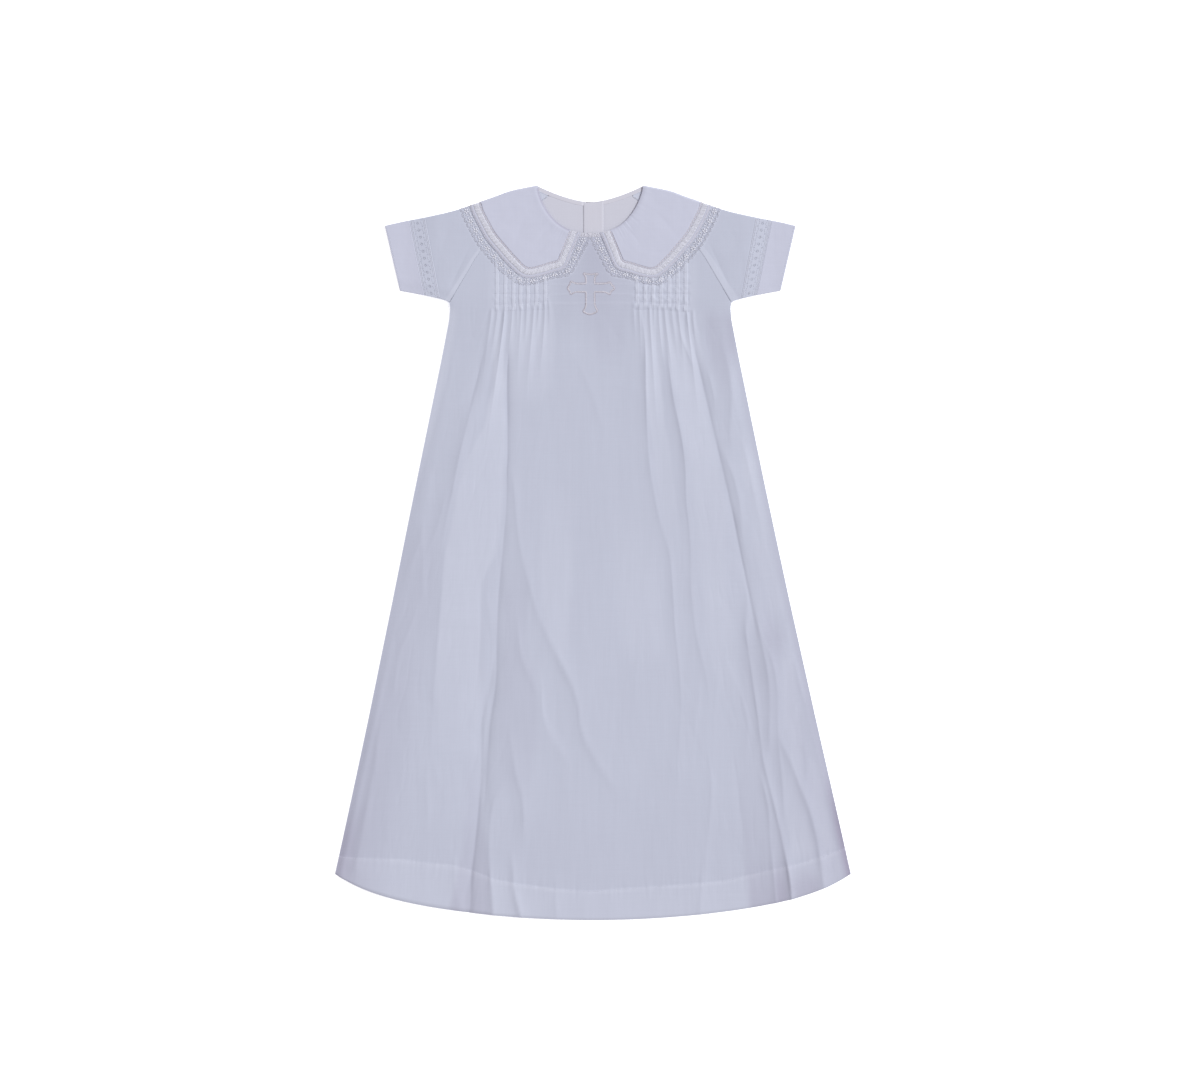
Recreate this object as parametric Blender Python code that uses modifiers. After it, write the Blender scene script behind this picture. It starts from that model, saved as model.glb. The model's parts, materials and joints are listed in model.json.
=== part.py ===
"""Christening gown of white batiste, laid flat on its back.

Frame: the gown lies on the XY plane, the neck towards +Y, the front panel up (+Z), the origin under the middle of
its bounding box. The tables are in millimetres; everything is placed in metres.

Every piece of cloth is one open grid, shaped by a function and given its wall by a Solidify modifier. Two functions,
back_under and front_under, say how high the underside of the back and of the front layer lie at any place, so all
pieces that meet edge to edge share their heights, and all pieces that lie on each other keep a gap.
"""

import math

import bmesh
import bpy

MM = 0.001

# ---------------------------------------------------------------- driving sizes, mm
CLOTH = 1.0  # wall of every piece of cloth
GAP = 0.3  # between pieces that lie on each other
SEAM = 0.4  # between pieces that meet edge to edge
HEM_SIDE_Y = -306.2  # hem corner
HEM_DROP = 43.8  # the hem's middle lies this much lower than its corners
UNDERARM_Y = 238.0
YOKE_X = -2.5  # the neck's centre line, against the hem's
LIE_Y = -0.7  # the tables' Y, moved so that the box's middle is the origin
SHOULDER = (50.05, 349.5)  # neck end of the shoulder fold, from the neck's centre line
NECK_FRONT = 44.8  # depth of the front neckline under the shoulder points
NECK_BACK = 15.3
BINDING = 4.0
BAND = 9.0  # ladder strip round the collar
LACE = 11.5
INSERTION = 16.2
CUFF = 22.9
BACK_COLLAR_DEPTH = 62.0  # of the cloth, without band and lace
COLLAR_END = 6.7  # half of the space between the collar halves at the centre back
PLACKET_LOW = 252.0
NOTCH = (-7.3, 9.6)  # slot in the back panel that the outer placket strip fills
OVER_STRIP = (-6.9, 9.2)
UNDER_STRIP = (-9.2, 9.4)
BUTTON_R, BUTTON_T = 4.2, 1.4
BUTTON_X = -2.3
BUTTONS = (("button_top", 326.0), ("button_middle", 296.0), ("button_low", 263.0))

# ---------------------------------------------------------------- heights, mm
YOKE_LIFT = BUTTON_T + GAP  # the back panel lies on the back collar and the buttons
PLACKET_STEP = CLOTH + GAP
COLLAR_FRONT = YOKE_LIFT + 3 * (CLOTH + GAP)  # underside of the collar's front half
TUCK_HIGH = 1.15
SWELL = 3.3  # the front's rise between its folds

# ---------------------------------------------------------------- tables, mm
# The side seam: height up the gown, and half of the width there.
SIDE = [
    # name, y, half width
    ("hem", HEM_SIDE_Y, 245.9),
    ("low skirt", -159.4, 213.5),
    ("mid skirt", -45.0, 189.1),
    ("high skirt", 69.3, 165.4),
    ("chest", 183.7, 142.0),
    ("side top", 221.8, 134.5),
    ("underarm", UNDERARM_Y, 133.3),
]
# The raglan seams from the underarm to the neck binding, from the neck's centre line.
RAGLAN_FRONT = [
    # x, y
    (133.3, UNDERARM_Y),
    (120.0, 262.5),
    (105.2, 286.6),
    (90.5, 303.0),
    (76.0, 316.0),
    (61.5, 326.5),
]
RAGLAN_BACK = [
    (133.3, UNDERARM_Y),
    (118.0, 262.0),
    (102.0, 285.5),
    (86.0, 305.0),
    (69.0, 320.0),
    (54.0, 330.0),
]
NECK_END_FRONT, NECK_END_BACK = 64.0, 50.0  # neck angles at which the raglan seams end
# The fold along the top of shoulder and sleeve, from the neck out to the cuff.
TOP_FOLD = [
    # x, y
    SHOULDER,
    (76.6, 344.0),
    (92.0, 338.4),
    (127.7, 326.6),
    (151.5, 320.9),
    (181.5, 315.2),
    (195.8, 311.8),
]
# The sleeve's lower edge, from the underarm to the cuff.
SLEEVE_LOW = [(139.2, 240.9), (163.0, 246.6), (181.5, 250.0)]
# The collar's cloth, front half: a place on the neckline (an angle in degrees, 0 at centre front, 90 at the shoulder
# point), the point of the cloth's outer edge that belongs to it, and how wide the lace is there (share of LACE).
COLLAR_FRONT_EDGE = [
    # name, neck angle, edge x, edge y, lace share
    ("front edge", 23.0, 31.5, 278.8, 0.85),
    ("front low", 28.0, 39.6, 276.6, 0.62),
    ("low", 33.0, 47.5, 274.0, 0.6),
    ("corner", 39.0, 60.0, 272.0, 0.78),
    ("side low", 45.0, 70.0, 280.6, 0.95),
    ("side", 53.0, 81.2, 293.2, 1.0),
    ("side mid", 62.0, 90.6, 304.6, 1.0),
    ("side high", 72.0, 97.0, 316.0, 1.0),
    ("near fold", 82.0, 102.6, 327.0, 1.0),
]
LACE_AT_NECK = 1.15
# The gown's main folds, hem-ward from the tucks: troughs in the front panel.
FOLDS = [
    # name, x0, y0, x1, y1, x2, y2, half width, depth
    ("left side", -101, 203, -144, 41, -186, -78, 13, 0.55),
    ("left main", -80, 205, -80, 20, -114, -311, 12, 1.0),
    ("left low", -143, -7, -150, -108, -154, -194, 14, 0.6),
    ("middle left", -78, 86, -60, -50, -3, -209, 14, 0.6),
    ("right inner", 49, 196, 55, 60, 90, -140, 12, 0.8),
    ("right middle", 66, 208, 90, 59, 103, -86, 12, 0.6),
    ("right main", 82, 210, 124, 86, 166, -133, 12, 1.0),
    ("right low", 142, -52, 172, -240, 188, -321, 13, 0.8),
    ("right edge", 180, -187, 196, -228, 214, -290, 12, 0.6),
    ("left hem", -80, -205, -69, -255, -73, -338, 12, 0.6),
]
TUCKS = [42.7 + 7.65 * k for k in range(7)]  # from the neck's centre line, both sides
TUCK_TOP, TUCK_LOW = 290.0, 229.0

RAGLAN_ROWS = len(RAGLAN_FRONT)
SKIRT_ROWS = 19
BACK_COLUMNS = 18
SLEEVE_STEPS = 5


# ---------------------------------------------------------------- small maths
def lerp(a, b, t):
    return a + (b - a) * t


def mix(p, q, t):
    return (lerp(p[0], q[0], t), lerp(p[1], q[1], t))


def ramp(low, high, x):
    t = min(1.0, max(0.0, (x - low) / (high - low)))
    return t * t * (3 - 2 * t)


def unit(x, y):
    size = math.hypot(x, y)
    return (x / size, y / size)


def along(points, t):
    """The place at share t of a line through the points."""
    steps = [math.dist(p, q) for p, q in zip(points, points[1:])]
    left = t * sum(steps)
    for p, q, step in zip(points, points[1:], steps):
        if left <= step:
            return mix(p, q, left / step)
        left -= step
    return points[-1]


def read(table, x):
    """A table of (key, value), read between its rows."""
    for (k0, v0), (k1, v1) in zip(table, table[1:]):
        if x <= k1:
            return lerp(v0, v1, max(0.0, (x - k0) / (k1 - k0)))
    return table[-1][1]


def far_from(line, x, y):
    """Distance from a place to a curve through three points."""
    best = 1e9
    (x0, y0), (x1, y1), (x2, y2) = line
    steps = 12
    for k in range(steps):
        pts = []
        for t in (k / steps, (k + 1) / steps):
            a, b, c = (1 - t) ** 2, 2 * t * (1 - t), t * t
            pts.append((a * x0 + b * x1 + c * x2, a * y0 + b * y1 + c * y2))
        (px, py), (qx, qy) = pts
        dx, dy = qx - px, qy - py
        s = min(1.0, max(0.0, ((x - px) * dx + (y - py) * dy) / (dx * dx + dy * dy)))
        best = min(best, math.hypot(x - px - s * dx, y - py - s * dy))
    return best


# ---------------------------------------------------------------- outline
def side_half(y):
    return read([(row[1], row[2]) for row in SIDE], y)


def side_middle(y):
    return YOKE_X * ramp(HEM_SIDE_Y, 100.0, y)


def hem_share(t):
    """How much of the hem's drop there is, t from -1 at the left corner to 1 at the right."""
    return 1 - 0.7 * t**2 - 0.3 * t**8


def neck_front_y(x):
    t = min(1.0, abs(x) / SHOULDER[0])
    return SHOULDER[1] - NECK_FRONT * (1 - t**2.5) ** 0.68


def neck_back_y(x):
    t = min(1.0, abs(x) / SHOULDER[0])
    return SHOULDER[1] - NECK_BACK * (1 - t**1.6)


def neck(angle, back=False):
    """A place on the neck edge, from centre (0) to shoulder point (90 degrees)."""
    x = SHOULDER[0] * math.sin(math.radians(angle))
    return (x, neck_back_y(x) if back else neck_front_y(x))


FOLD_DIR = unit(TOP_FOLD[1][0] - TOP_FOLD[0][0], TOP_FOLD[1][1] - TOP_FOLD[0][1])
FOLD_OUT = (-FOLD_DIR[1], FOLD_DIR[0])  # square to the fold, away from the gown


def neck_away(angle, back=False):
    """The direction square to the neck edge, away from the opening; along the fold at the shoulder point."""
    a, b = neck(max(0.0, angle - 2), back), neck(min(90.0, angle + 2), back)
    tx, ty = unit(b[0] - a[0], b[1] - a[1])
    square = (ty, -tx)
    w = ramp(68, 90, angle)
    return unit(lerp(square[0], FOLD_DIR[0], w), lerp(square[1], FOLD_DIR[1], w))


def neck_off(angle, off, back=False):
    (x, y), (nx, ny) = neck(angle, back), neck_away(angle, back)
    return (x + nx * off, y + ny * off)


def neckline(off, back):
    """The neck edge moved away from the opening, as a table of (x, y)."""
    return [neck_off(a, off, back) for a in range(0, 91, 3)]


def raglan(back):
    """The raglan seam's places, from the underarm to the neck binding."""
    end = neck_off(NECK_END_BACK if back else NECK_END_FRONT, BINDING + SEAM, back)
    return (RAGLAN_BACK if back else RAGLAN_FRONT) + [end]


# ---------------------------------------------------------------- heights of the two layers
def yoke(x, y):
    """1 where the back lies on the back collar, 0 on the skirt and at the cuffs."""
    return (1 - ramp(144, 178, abs(x - YOKE_X))) * ramp(198, 248, y)


def back_under(x, y):
    return YOKE_LIFT * yoke(x, y)


def folds(x, y):
    if y > 228:
        return 0.0
    rise = SWELL * (1 - ramp(196, 228, y)) * ramp(0, 34, side_half(y) - abs(x - side_middle(y)))
    rise *= lerp(0.55, 1.0, ramp(-350, -230, y))
    for _, x0, y0, x1, y1, x2, y2, wide, deep in FOLDS:
        away = far_from(((x0, y0), (2 * x1 - (x0 + x2) / 2, 2 * y1 - (y0 + y2) / 2), (x2, y2)), x, y)
        rise *= 1 - deep * math.exp(-((away / wide) ** 2))
    return rise


def tucks(x, y):
    across = abs(x - YOKE_X)
    if not TUCKS[0] - 3.8 < across < TUCKS[-1] + 3.8:
        return 0.0
    wave = max(0.0, math.cos(2 * math.pi * (across - TUCKS[0]) / (TUCKS[1] - TUCKS[0])))
    return TUCK_HIGH * wave * ramp(TUCK_LOW - 14, TUCK_LOW, y) * (1 - ramp(TUCK_TOP - 8, TUCK_TOP, y))


def front_under(x, y):
    over_placket = (1 - ramp(16, 30, abs(x))) * ramp(205, 232, y)
    return back_under(x, y) + CLOTH + GAP + PLACKET_STEP * over_placket + folds(x, y) + tucks(x, y)


def middle(under):
    return under + CLOTH / 2


# ---------------------------------------------------------------- making a piece
def material(name, colour, roughness=0.85, metallic=0.0):
    made = bpy.data.materials.new(name)
    made.use_nodes = True
    shader = made.node_tree.nodes["Principled BSDF"]
    shader.inputs["Base Color"].default_value = (*colour, 1.0)
    shader.inputs["Roughness"].default_value = roughness
    shader.inputs["Metallic"].default_value = metallic
    made.diffuse_color = (*colour, 1.0)
    return made


def add_object(name, bm, home, colour, roughness=0.85, smooth=True):
    mesh = bpy.data.meshes.new(name)
    bm.to_mesh(mesh)
    bm.free()
    obj = bpy.data.objects.new(name, mesh)
    home.objects.link(obj)
    mesh.materials.append(material(name, colour, roughness))
    if smooth:
        mesh.shade_smooth()
        mesh.set_sharp_from_angle(angle=math.radians(50))
    return obj


def cloth(name, columns, rows, place, home, colour, missing=None, flip=False):
    """A grid of columns by rows, each corner moved to place(column, row), with a wall of cloth on it."""
    bm = bmesh.new()
    bmesh.ops.create_grid(bm, x_segments=columns, y_segments=rows, size=1.0)
    corner = {}
    for vert in bm.verts:
        i = round((vert.co.x + 1) / 2 * columns)
        j = round((vert.co.y + 1) / 2 * rows)
        corner[vert] = (i, j)
    for vert, (i, j) in corner.items():
        x, y, z = place(i, j)
        vert.co = (x * MM, (y + LIE_Y) * MM, z * MM)
    if missing:
        gone = [face for face in bm.faces if all(missing(*corner[v]) for v in face.verts)]
        bmesh.ops.delete(bm, geom=gone, context="FACES")
    if flip:
        bmesh.ops.reverse_faces(bm, faces=bm.faces)
    obj = add_object(name, bm, home, colour)
    wall = obj.modifiers.new("wall", "SOLIDIFY")
    wall.thickness = CLOTH * MM
    wall.offset = 0.0
    wall.use_even_offset = True
    return obj


# ---------------------------------------------------------------- the panels
def panel_rows(seam):
    """Side points of each row of a panel, from hem to neck: (y, half width, middle, share of skirt, share of yoke)."""
    rows = []
    for k in range(SKIRT_ROWS):
        y = lerp(HEM_SIDE_Y, UNDERARM_Y, k / SKIRT_ROWS)
        rows.append((y, side_half(y), side_middle(y), 1 - k / SKIRT_ROWS, 0.0))
    for k, (x, y) in enumerate(seam):
        rows.append((y, x, YOKE_X, 0.0, k / RAGLAN_ROWS))
    return rows


def panel_place(top, columns_at, back):
    rows = panel_rows(raglan(back))
    last = rows[-1]
    half_top = last[1]

    def place(i, j):
        y_side, half, centre, skirt, yoke_share = rows[j]
        shy = 0.0 if yoke_share == 0 else SEAM / 2
        t = columns_at(i, yoke_share, skirt)
        x = centre + t * (half - shy)
        y = y_side - HEM_DROP * hem_share(t) * skirt
        if yoke_share:
            # the rows turn from level ones at the underarm into the neckline
            low = read(top, 0) - SEAM
            hollow = (last[0] + SEAM * (1 - abs(t)) - read(top, abs(t) * half_top)) / (last[0] - low)
            shape = lerp(1 - t * t, hollow, yoke_share)
            y -= (y_side - lerp(UNDERARM_Y, low, yoke_share)) * shape
        z = middle(back_under(x, y) if back else front_under(x, y))
        return (x, y, z)

    return place


def front_columns():
    """Shares of the half width, closest where the tucks are: (at the chest, at the hem)."""
    chest = [0.0, 0.07, 0.14, 0.21]
    first, last = TUCKS[0] / 125.0, TUCKS[-1] / 125.0
    count = 2 * len(TUCKS) - 1
    chest += [lerp(first, last, k / (count - 1)) for k in range(count)]
    chest += [0.85, 0.93, 1.0]
    even = [k / (len(chest) - 1) for k in range(len(chest))]
    hem = [lerp(c, e, 0.55) for c, e in zip(chest, even)]
    return chest, hem


def build_front(home):
    chest, hem = front_columns()
    side = len(chest) - 1
    top = neckline(BINDING + SEAM, False)
    rows = panel_rows(raglan(False))

    def at(i, yoke_share, skirt):
        k = abs(i - side)
        share = lerp(chest[k], hem[k], ramp(0.1, 0.75, skirt))
        even = k / side
        share = lerp(share, even, ramp(0.35, 1.0, yoke_share))
        return math.copysign(share, i - side)

    place = panel_place(top, at, back=False)
    return cloth("front", 2 * side, len(rows) - 1, place, home, (0.86, 0.87, 0.92))


def build_back(home):
    top = neckline(BINDING + SEAM, True)
    rows = panel_rows(raglan(True))
    half = BACK_COLUMNS // 2
    low = next(k for k, row in enumerate(rows) if row[0] >= PLACKET_LOW)

    def at(i, yoke_share, skirt):
        return (i - half) / half

    shape = panel_place(top, at, back=True)
    flat_y = shape(half, low)[1]

    def place(i, j):
        """The two columns beside the middle one run down the slot's sides, and the row at its foot is level."""
        x, y, z = shape(i, j)
        slot = ramp(low - 4, low - 1, j)
        if i == half:
            x = lerp(x, sum(NOTCH) / 2, slot)
        else:
            beside, outer = (NOTCH[0], 0) if i < half else (NOTCH[1], BACK_COLUMNS)
            x = lerp(x, lerp(beside, shape(outer, j)[0], (abs(i - half) - 1) / (half - 1)), slot)
        if j == low and abs(i - half) <= 1:
            y = flat_y
        if j == len(rows) - 1:
            y = read(top, abs(x - YOKE_X)) - SEAM / 2
        return (x, y, middle(back_under(x, y)))

    def missing(i, j):
        return abs(i - half) <= 1 and j >= low

    obj = cloth("back", BACK_COLUMNS, len(rows) - 1, place, home, (0.80, 0.81, 0.87), missing)
    return obj, flat_y


# ---------------------------------------------------------------- sleeves: insertion and cuff follow on
def mirrored(side, x, y, z):
    return (YOKE_X + side * x, y, z)


def front_layer(side, x, y):
    return middle(front_under(YOKE_X + side * x, y))


def back_layer(side, x, y):
    return middle(back_under(YOKE_X + side * x, y))


def sleeve_ends():
    """The lines across the flat sleeve, from its lower edge to its top fold: (low, top) at each seam."""
    low = [(133.6, UNDERARM_Y + 0.2)] + SLEEVE_LOW
    cuff_low, cuff_top = SLEEVE_LOW[-1], TOP_FOLD[-1]
    low_len = sum(math.dist(p, q) for p, q in zip(low, low[1:]))
    top_len = sum(math.dist(p, q) for p, q in zip(TOP_FOLD, TOP_FOLD[1:]))

    def at(off):
        return along(low, 1 - off / low_len), along(TOP_FOLD, 1 - off / top_len)

    return {
        "cuff end": (cuff_low, cuff_top),
        "cuff start": at(CUFF),
        "insertion end": at(CUFF + SEAM),
        "insertion start": at(CUFF + SEAM + INSERTION),
        "sleeve end": at(CUFF + 2 * SEAM + INSERTION),
    }


FOLD_ANGLES = (45, 90, 135)


def tube_place(side, start, end, steps):
    """start(k) and end(k) give the flat places on both seams for each stop k, which runs from the front's lower edge
    up to the fold, round it, and down the back."""
    stops = [("front", k) for k in range(steps + 1)]
    stops += [("fold", a) for a in FOLD_ANGLES]
    stops += [("back", k) for k in range(steps, -1, -1)]
    tuck_in = (CLOTH + GAP) / 2 + CLOTH / 2  # the fold's outer face lies on the outline

    def place(stop, t):
        layer, k = stops[stop]
        if layer == "fold":
            a, b = start("fold", steps), end("fold", steps)
        else:
            a, b = start(layer, k), end(layer, k)
        x, y = mix(a, b, t)
        if layer == "fold" or k == steps:
            ox, oy = FOLD_OUT
            x, y = x - ox * tuck_in, y - oy * tuck_in
        if layer == "front":
            return mirrored(side, x, y, front_layer(side, x, y))
        if layer == "back":
            return mirrored(side, x, y, back_layer(side, x, y))
        up, down = front_layer(side, x, y), back_layer(side, x, y)
        r, mid = (up - down) / 2, (up + down) / 2
        a = math.radians(k)
        return mirrored(side, x + FOLD_OUT[0] * r * math.sin(a), y + FOLD_OUT[1] * r * math.sin(a), mid + r * math.cos(a))

    return place, len(stops) - 1


def build_sleeves(home):
    ends = sleeve_ends()
    cloth_colour, lace_colour = (0.84, 0.85, 0.91), (0.70, 0.71, 0.78)
    for side, name in ((-1, "left"), (1, "right")):
        steps = RAGLAN_ROWS + 2
        neck_top = neck_off(90, BINDING + 1.5 * SEAM)
        between = {
            "front": neck_off(77, BINDING + 1.5 * SEAM),
            "back": neck_off(71, BINDING + 1.5 * SEAM, True),
        }
        seams = {"front": raglan(False), "back": raglan(True)}

        def seam(layer, k):
            if k == steps:
                return neck_top
            if k == steps - 1:
                return between[layer]
            x, y = seams[layer][k]
            return (x + SEAM, y + SEAM / 2)

        def across(line, count=steps):
            low, top = line

            def at(layer, k):
                return mix(low, top, min(1.0, k / count))

            return at

        # the sleeve's own top edge bends with the outline between neck and insertion
        place, stops = tube_place(side, seam, across(ends["sleeve end"]), steps)
        chord_a, chord_b = neck_top, ends["sleeve end"][1]

        def sleeve_place(stop, j, place=place, steps=steps):
            t = j / SLEEVE_STEPS
            x, y, z = place(stop, t)
            fold_stop = steps < stop < steps + 1 + len(FOLD_ANGLES)
            up = stop if stop <= steps else (2 * steps + len(FOLD_ANGLES) + 1 - stop if not fold_stop else steps)
            chord = mix(chord_a, chord_b, t)
            want = read([(p[0], p[1]) for p in TOP_FOLD], chord[0])
            bend = (want - chord[1]) * min(1.0, up / steps) ** 2 if j else 0.0
            return (x, y + bend, z)

        flip = side > 0
        cloth(f"sleeve_{name}", stops, SLEEVE_STEPS, sleeve_place, home, cloth_colour, flip=flip)
        for piece, a, b, rows, colour in (
            ("sleeve_insertion", "insertion start", "insertion end", 2, lace_colour),
            ("cuff", "cuff start", "cuff end", 2, cloth_colour),
        ):
            place, stops = tube_place(side, across(ends[a], 4), across(ends[b], 4), 4)
            cloth(f"{piece}_{name}", stops, rows, lambda i, j, p=place, n=rows: p(i, j / n), home, colour, flip=flip)


# ---------------------------------------------------------------- collar
def fold_y(x):
    return read([(p[0], p[1]) for p in TOP_FOLD], x)


def collar_stations():
    """Stations from centre front over the shoulder to centre back. Each gives its neck place, its edge place, the
    direction of the edge's offset, and where it is: front, fold (with its angle) or back."""
    edge_fold_x = 105.0
    rows = []
    for _, angle, x, y, share in COLLAR_FRONT_EDGE:
        rows.append({"at": "front", "turn": 0, "neck": neck(angle), "edge": (x, y), "lace": share})
    top = {"neck": SHOULDER, "edge": (edge_fold_x, fold_y(edge_fold_x)), "lace": 1.0}
    for turn in (0, 36, 72, 108, 144, 180):
        rows.append({"at": "fold", "turn": turn, **top})
    back = [(76, 0.93), (62, 0.74), (46, 0.55), (31, 0.36), (18, 0.2)]
    for angle, share in back:
        # an even curve round the shoulder blade down to the centre back
        x = edge_fold_x * share
        y = neck_back_y(0) - BACK_COLLAR_DEPTH + (fold_y(edge_fold_x) - neck_back_y(0) + BACK_COLLAR_DEPTH) * share**3.4
        rows.append({"at": "back", "turn": 180, "neck": neck(angle, True), "edge": (x, y), "lace": 1.0})
    end_angle = math.degrees(math.asin(COLLAR_END / SHOULDER[0]))
    low = neck_back_y(0) - BACK_COLLAR_DEPTH
    rows.append({"at": "back", "turn": 180, "neck": neck(end_angle, True), "edge": (COLLAR_END, low), "lace": 1.0})
    return rows


def edge_away(rows, k):
    """The direction square to the collar's edge at a station, away from the cloth."""
    here = rows[k]
    if here["at"] == "fold":
        return FOLD_EDGE
    a = rows[k - 1]["edge"] if k else None
    b = rows[k + 1]["edge"] if k + 1 < len(rows) else None
    p = here["edge"]
    sides = []
    for q, r in ((a, p), (p, b)):
        if q is None or r is None or math.dist(q, r) < 1e-6:
            continue
        tx, ty = unit(r[0] - q[0], r[1] - q[1])
        sides.append((ty, -tx) if here["at"] == "front" else (-ty, tx))
    if k + 1 == len(rows):
        return (0.0, -1.0)
    nx, ny = sum(s[0] for s in sides), sum(s[1] for s in sides)
    return unit(nx, ny)


FOLD_EDGE = unit(127.7 - 92.0, 326.6 - 338.4)
COLLAR_OUT = (-FOLD_EDGE[1], FOLD_EDGE[0])


def wrap(side, station, x, y):
    """A flat place of a station, put at its height: on the front, round the shoulder fold, or under the back."""
    up, down = middle(COLLAR_FRONT), middle(0.0)
    r, mid = (up - down) / 2, (up + down) / 2
    turn = math.radians(station["turn"])
    if station["at"] == "front":
        return mirrored(side, x, y, up)
    if station["at"] == "back":
        return mirrored(side, x, y, down)
    ox, oy = COLLAR_OUT
    back_in = 1.2
    return mirrored(
        side, x + ox * (r * math.sin(turn) - back_in), y + oy * (r * math.sin(turn) - back_in), mid + r * math.cos(turn)
    )


def build_collar(home):
    rows = collar_stations()
    away = [edge_away(rows, k) for k in range(len(rows))]
    colours = {"collar": (0.88, 0.89, 0.95), "collar_band": (0.78, 0.79, 0.86), "collar_lace": (0.68, 0.69, 0.77)}
    steps = 4
    # the strips start on the neckline, before the first station of the cloth, and run down its front edge
    front_edge_top = neck(COLLAR_FRONT_EDGE[0][1])
    first = COLLAR_FRONT_EDGE[0]
    down = unit(first[2] - front_edge_top[0], first[3] - front_edge_top[1])
    square = (down[1], -down[0])

    def strip(inner, outer, lace_part):
        """(station, inner place, outer place) for a strip between two offsets of the cloth's edge."""

        def reach(off, share):
            # only the lace's outer edge follows its changing width
            return BAND + (off - BAND) * share if lace_part and off == outer else off

        made = []
        plain = {"at": "front", "turn": 0}

        def clear(p):
            return (max(p[0], SEAM / 2 + 0.1), p[1])

        for s in (0.0, 0.08, 0.3, 0.62):
            ex = lerp(front_edge_top[0], first[2], s)
            ey = lerp(front_edge_top[1], first[3], s)
            share = lerp(LACE_AT_NECK, first[4], s)
            if s == 0.0:
                # on the neckline itself, up to the centre
                places = []
                for off in (inner, reach(outer, share)):
                    x = ex + square[0] * off * 1.12
                    x = max(x, SEAM / 2 + 0.1)
                    places.append((x, neck_front_y(x)))
            else:
                offs = (inner, reach(outer, share))
                places = [clear((ex + square[0] * off, ey + square[1] * off)) for off in offs]
            made.append((plain, places[0], places[1]))
        corner = unit(square[0] + away_second[0], square[1] + away_second[1])
        for station, (nx, ny) in zip(rows, [corner] + away[1:]):
            ex, ey = station["edge"]
            out = reach(outer, station["lace"])
            made.append((station, (ex + nx * inner, ey + ny * inner), (ex + nx * out, ey + ny * out)))
        return made

    # direction square to the cloth's lower edge, next to the front corner
    second = rows[1]["edge"]
    tx, ty = unit(second[0] - first[2], second[1] - first[3])
    away_second = (ty, -tx)

    for side, name in ((-1, "left"), (1, "right")):
        flip = side > 0

        def body_place(i, j, side=side):
            station = rows[i]
            x, y = mix(station["neck"], station["edge"], j / steps)
            if station["at"] == "fold":
                y = fold_y(x)
            return wrap(side, station, x, y)

        cloth(f"collar_{name}", len(rows) - 1, steps, body_place, home, colours["collar"], flip=not flip)
        for piece, inner, outer in (
            ("collar_band", SEAM, BAND),
            ("collar_lace", BAND + SEAM, BAND + LACE),
        ):
            line = strip(inner, outer, piece == "collar_lace")

            def strip_place(i, j, line=line, side=side):
                station, a, b = line[i]
                x, y = mix(a, b, j)
                return wrap(side, station, x, y)

            cloth(f"{piece}_{name}", len(line) - 1, 1, strip_place, home, colours[piece], flip=not flip)


# ---------------------------------------------------------------- neck binding, placket, buttons
def build_binding(home):
    """One strip from the slot's left side round by the front to its right side."""
    half = []
    for angle in (0, 12, 24, 36, 47, 57, 66, 74, 81, 86):
        half.append(("front", 0, angle))
    half += [("fold", turn, 90) for turn in (0, 45, 90, 135, 180)]
    for angle in (80, 68, 54, 40, 26, 14):
        half.append(("back", 180, angle))

    def end_angle(x):
        return math.degrees(math.asin(abs(x - YOKE_X) / SHOULDER[0]))

    path = [(-1, *s) for s in half[::-1]]
    path = [(-1, "back", 180, end_angle(OVER_STRIP[0] - 0.5))] + path
    path += [(1, *s) for s in half[1:]]
    # the right side goes on over the outer strip, past the middle, to the slot's left side
    path += [(1, "back", 180, 4), (-1, "back", 180, end_angle(OVER_STRIP[0] - 0.1))]

    def place(i, j):
        side, at, turn, angle = path[i]
        back = at == "back" or (at == "fold" and turn > 90)
        off = j * BINDING
        if at == "fold":
            x, y = neck_off(90, off)
            tuck_in = (CLOTH + GAP) / 2 + CLOTH / 2
            x, y = x - FOLD_OUT[0] * tuck_in, y - FOLD_OUT[1] * tuck_in
            up, down = front_layer(side, x, y), back_layer(side, x, y)
            r, mid = (up - down) / 2, (up + down) / 2
            a = math.radians(turn)
            return mirrored(
                side, x + FOLD_OUT[0] * r * math.sin(a), y + FOLD_OUT[1] * r * math.sin(a), mid + r * math.cos(a)
            )
        x, y = neck_off(angle, off, back)
        return mirrored(side, x, y, back_layer(side, x, y) if back else front_layer(side, x, y))

    return cloth("neck_binding", len(path) - 1, 1, place, home, (0.90, 0.90, 0.95), flip=False)


def build_placket(home, low):
    colour = (0.88, 0.89, 0.94)

    def strip(name, span, foot, under, head):
        def place(i, j):
            x = lerp(span[0], span[1], i / 3)
            top = neck_back_y(x - YOKE_X) - head
            y = lerp(foot, top, j / 4)
            return (x, y, middle(under))

        return cloth(name, 3, 4, place, home, colour)

    strip("placket_over", OVER_STRIP, low + SEAM, YOKE_LIFT, BINDING + 2 * SEAM)
    strip("placket_under", UNDER_STRIP, low - 3.5, YOKE_LIFT + CLOTH + GAP, 0.6)


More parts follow.
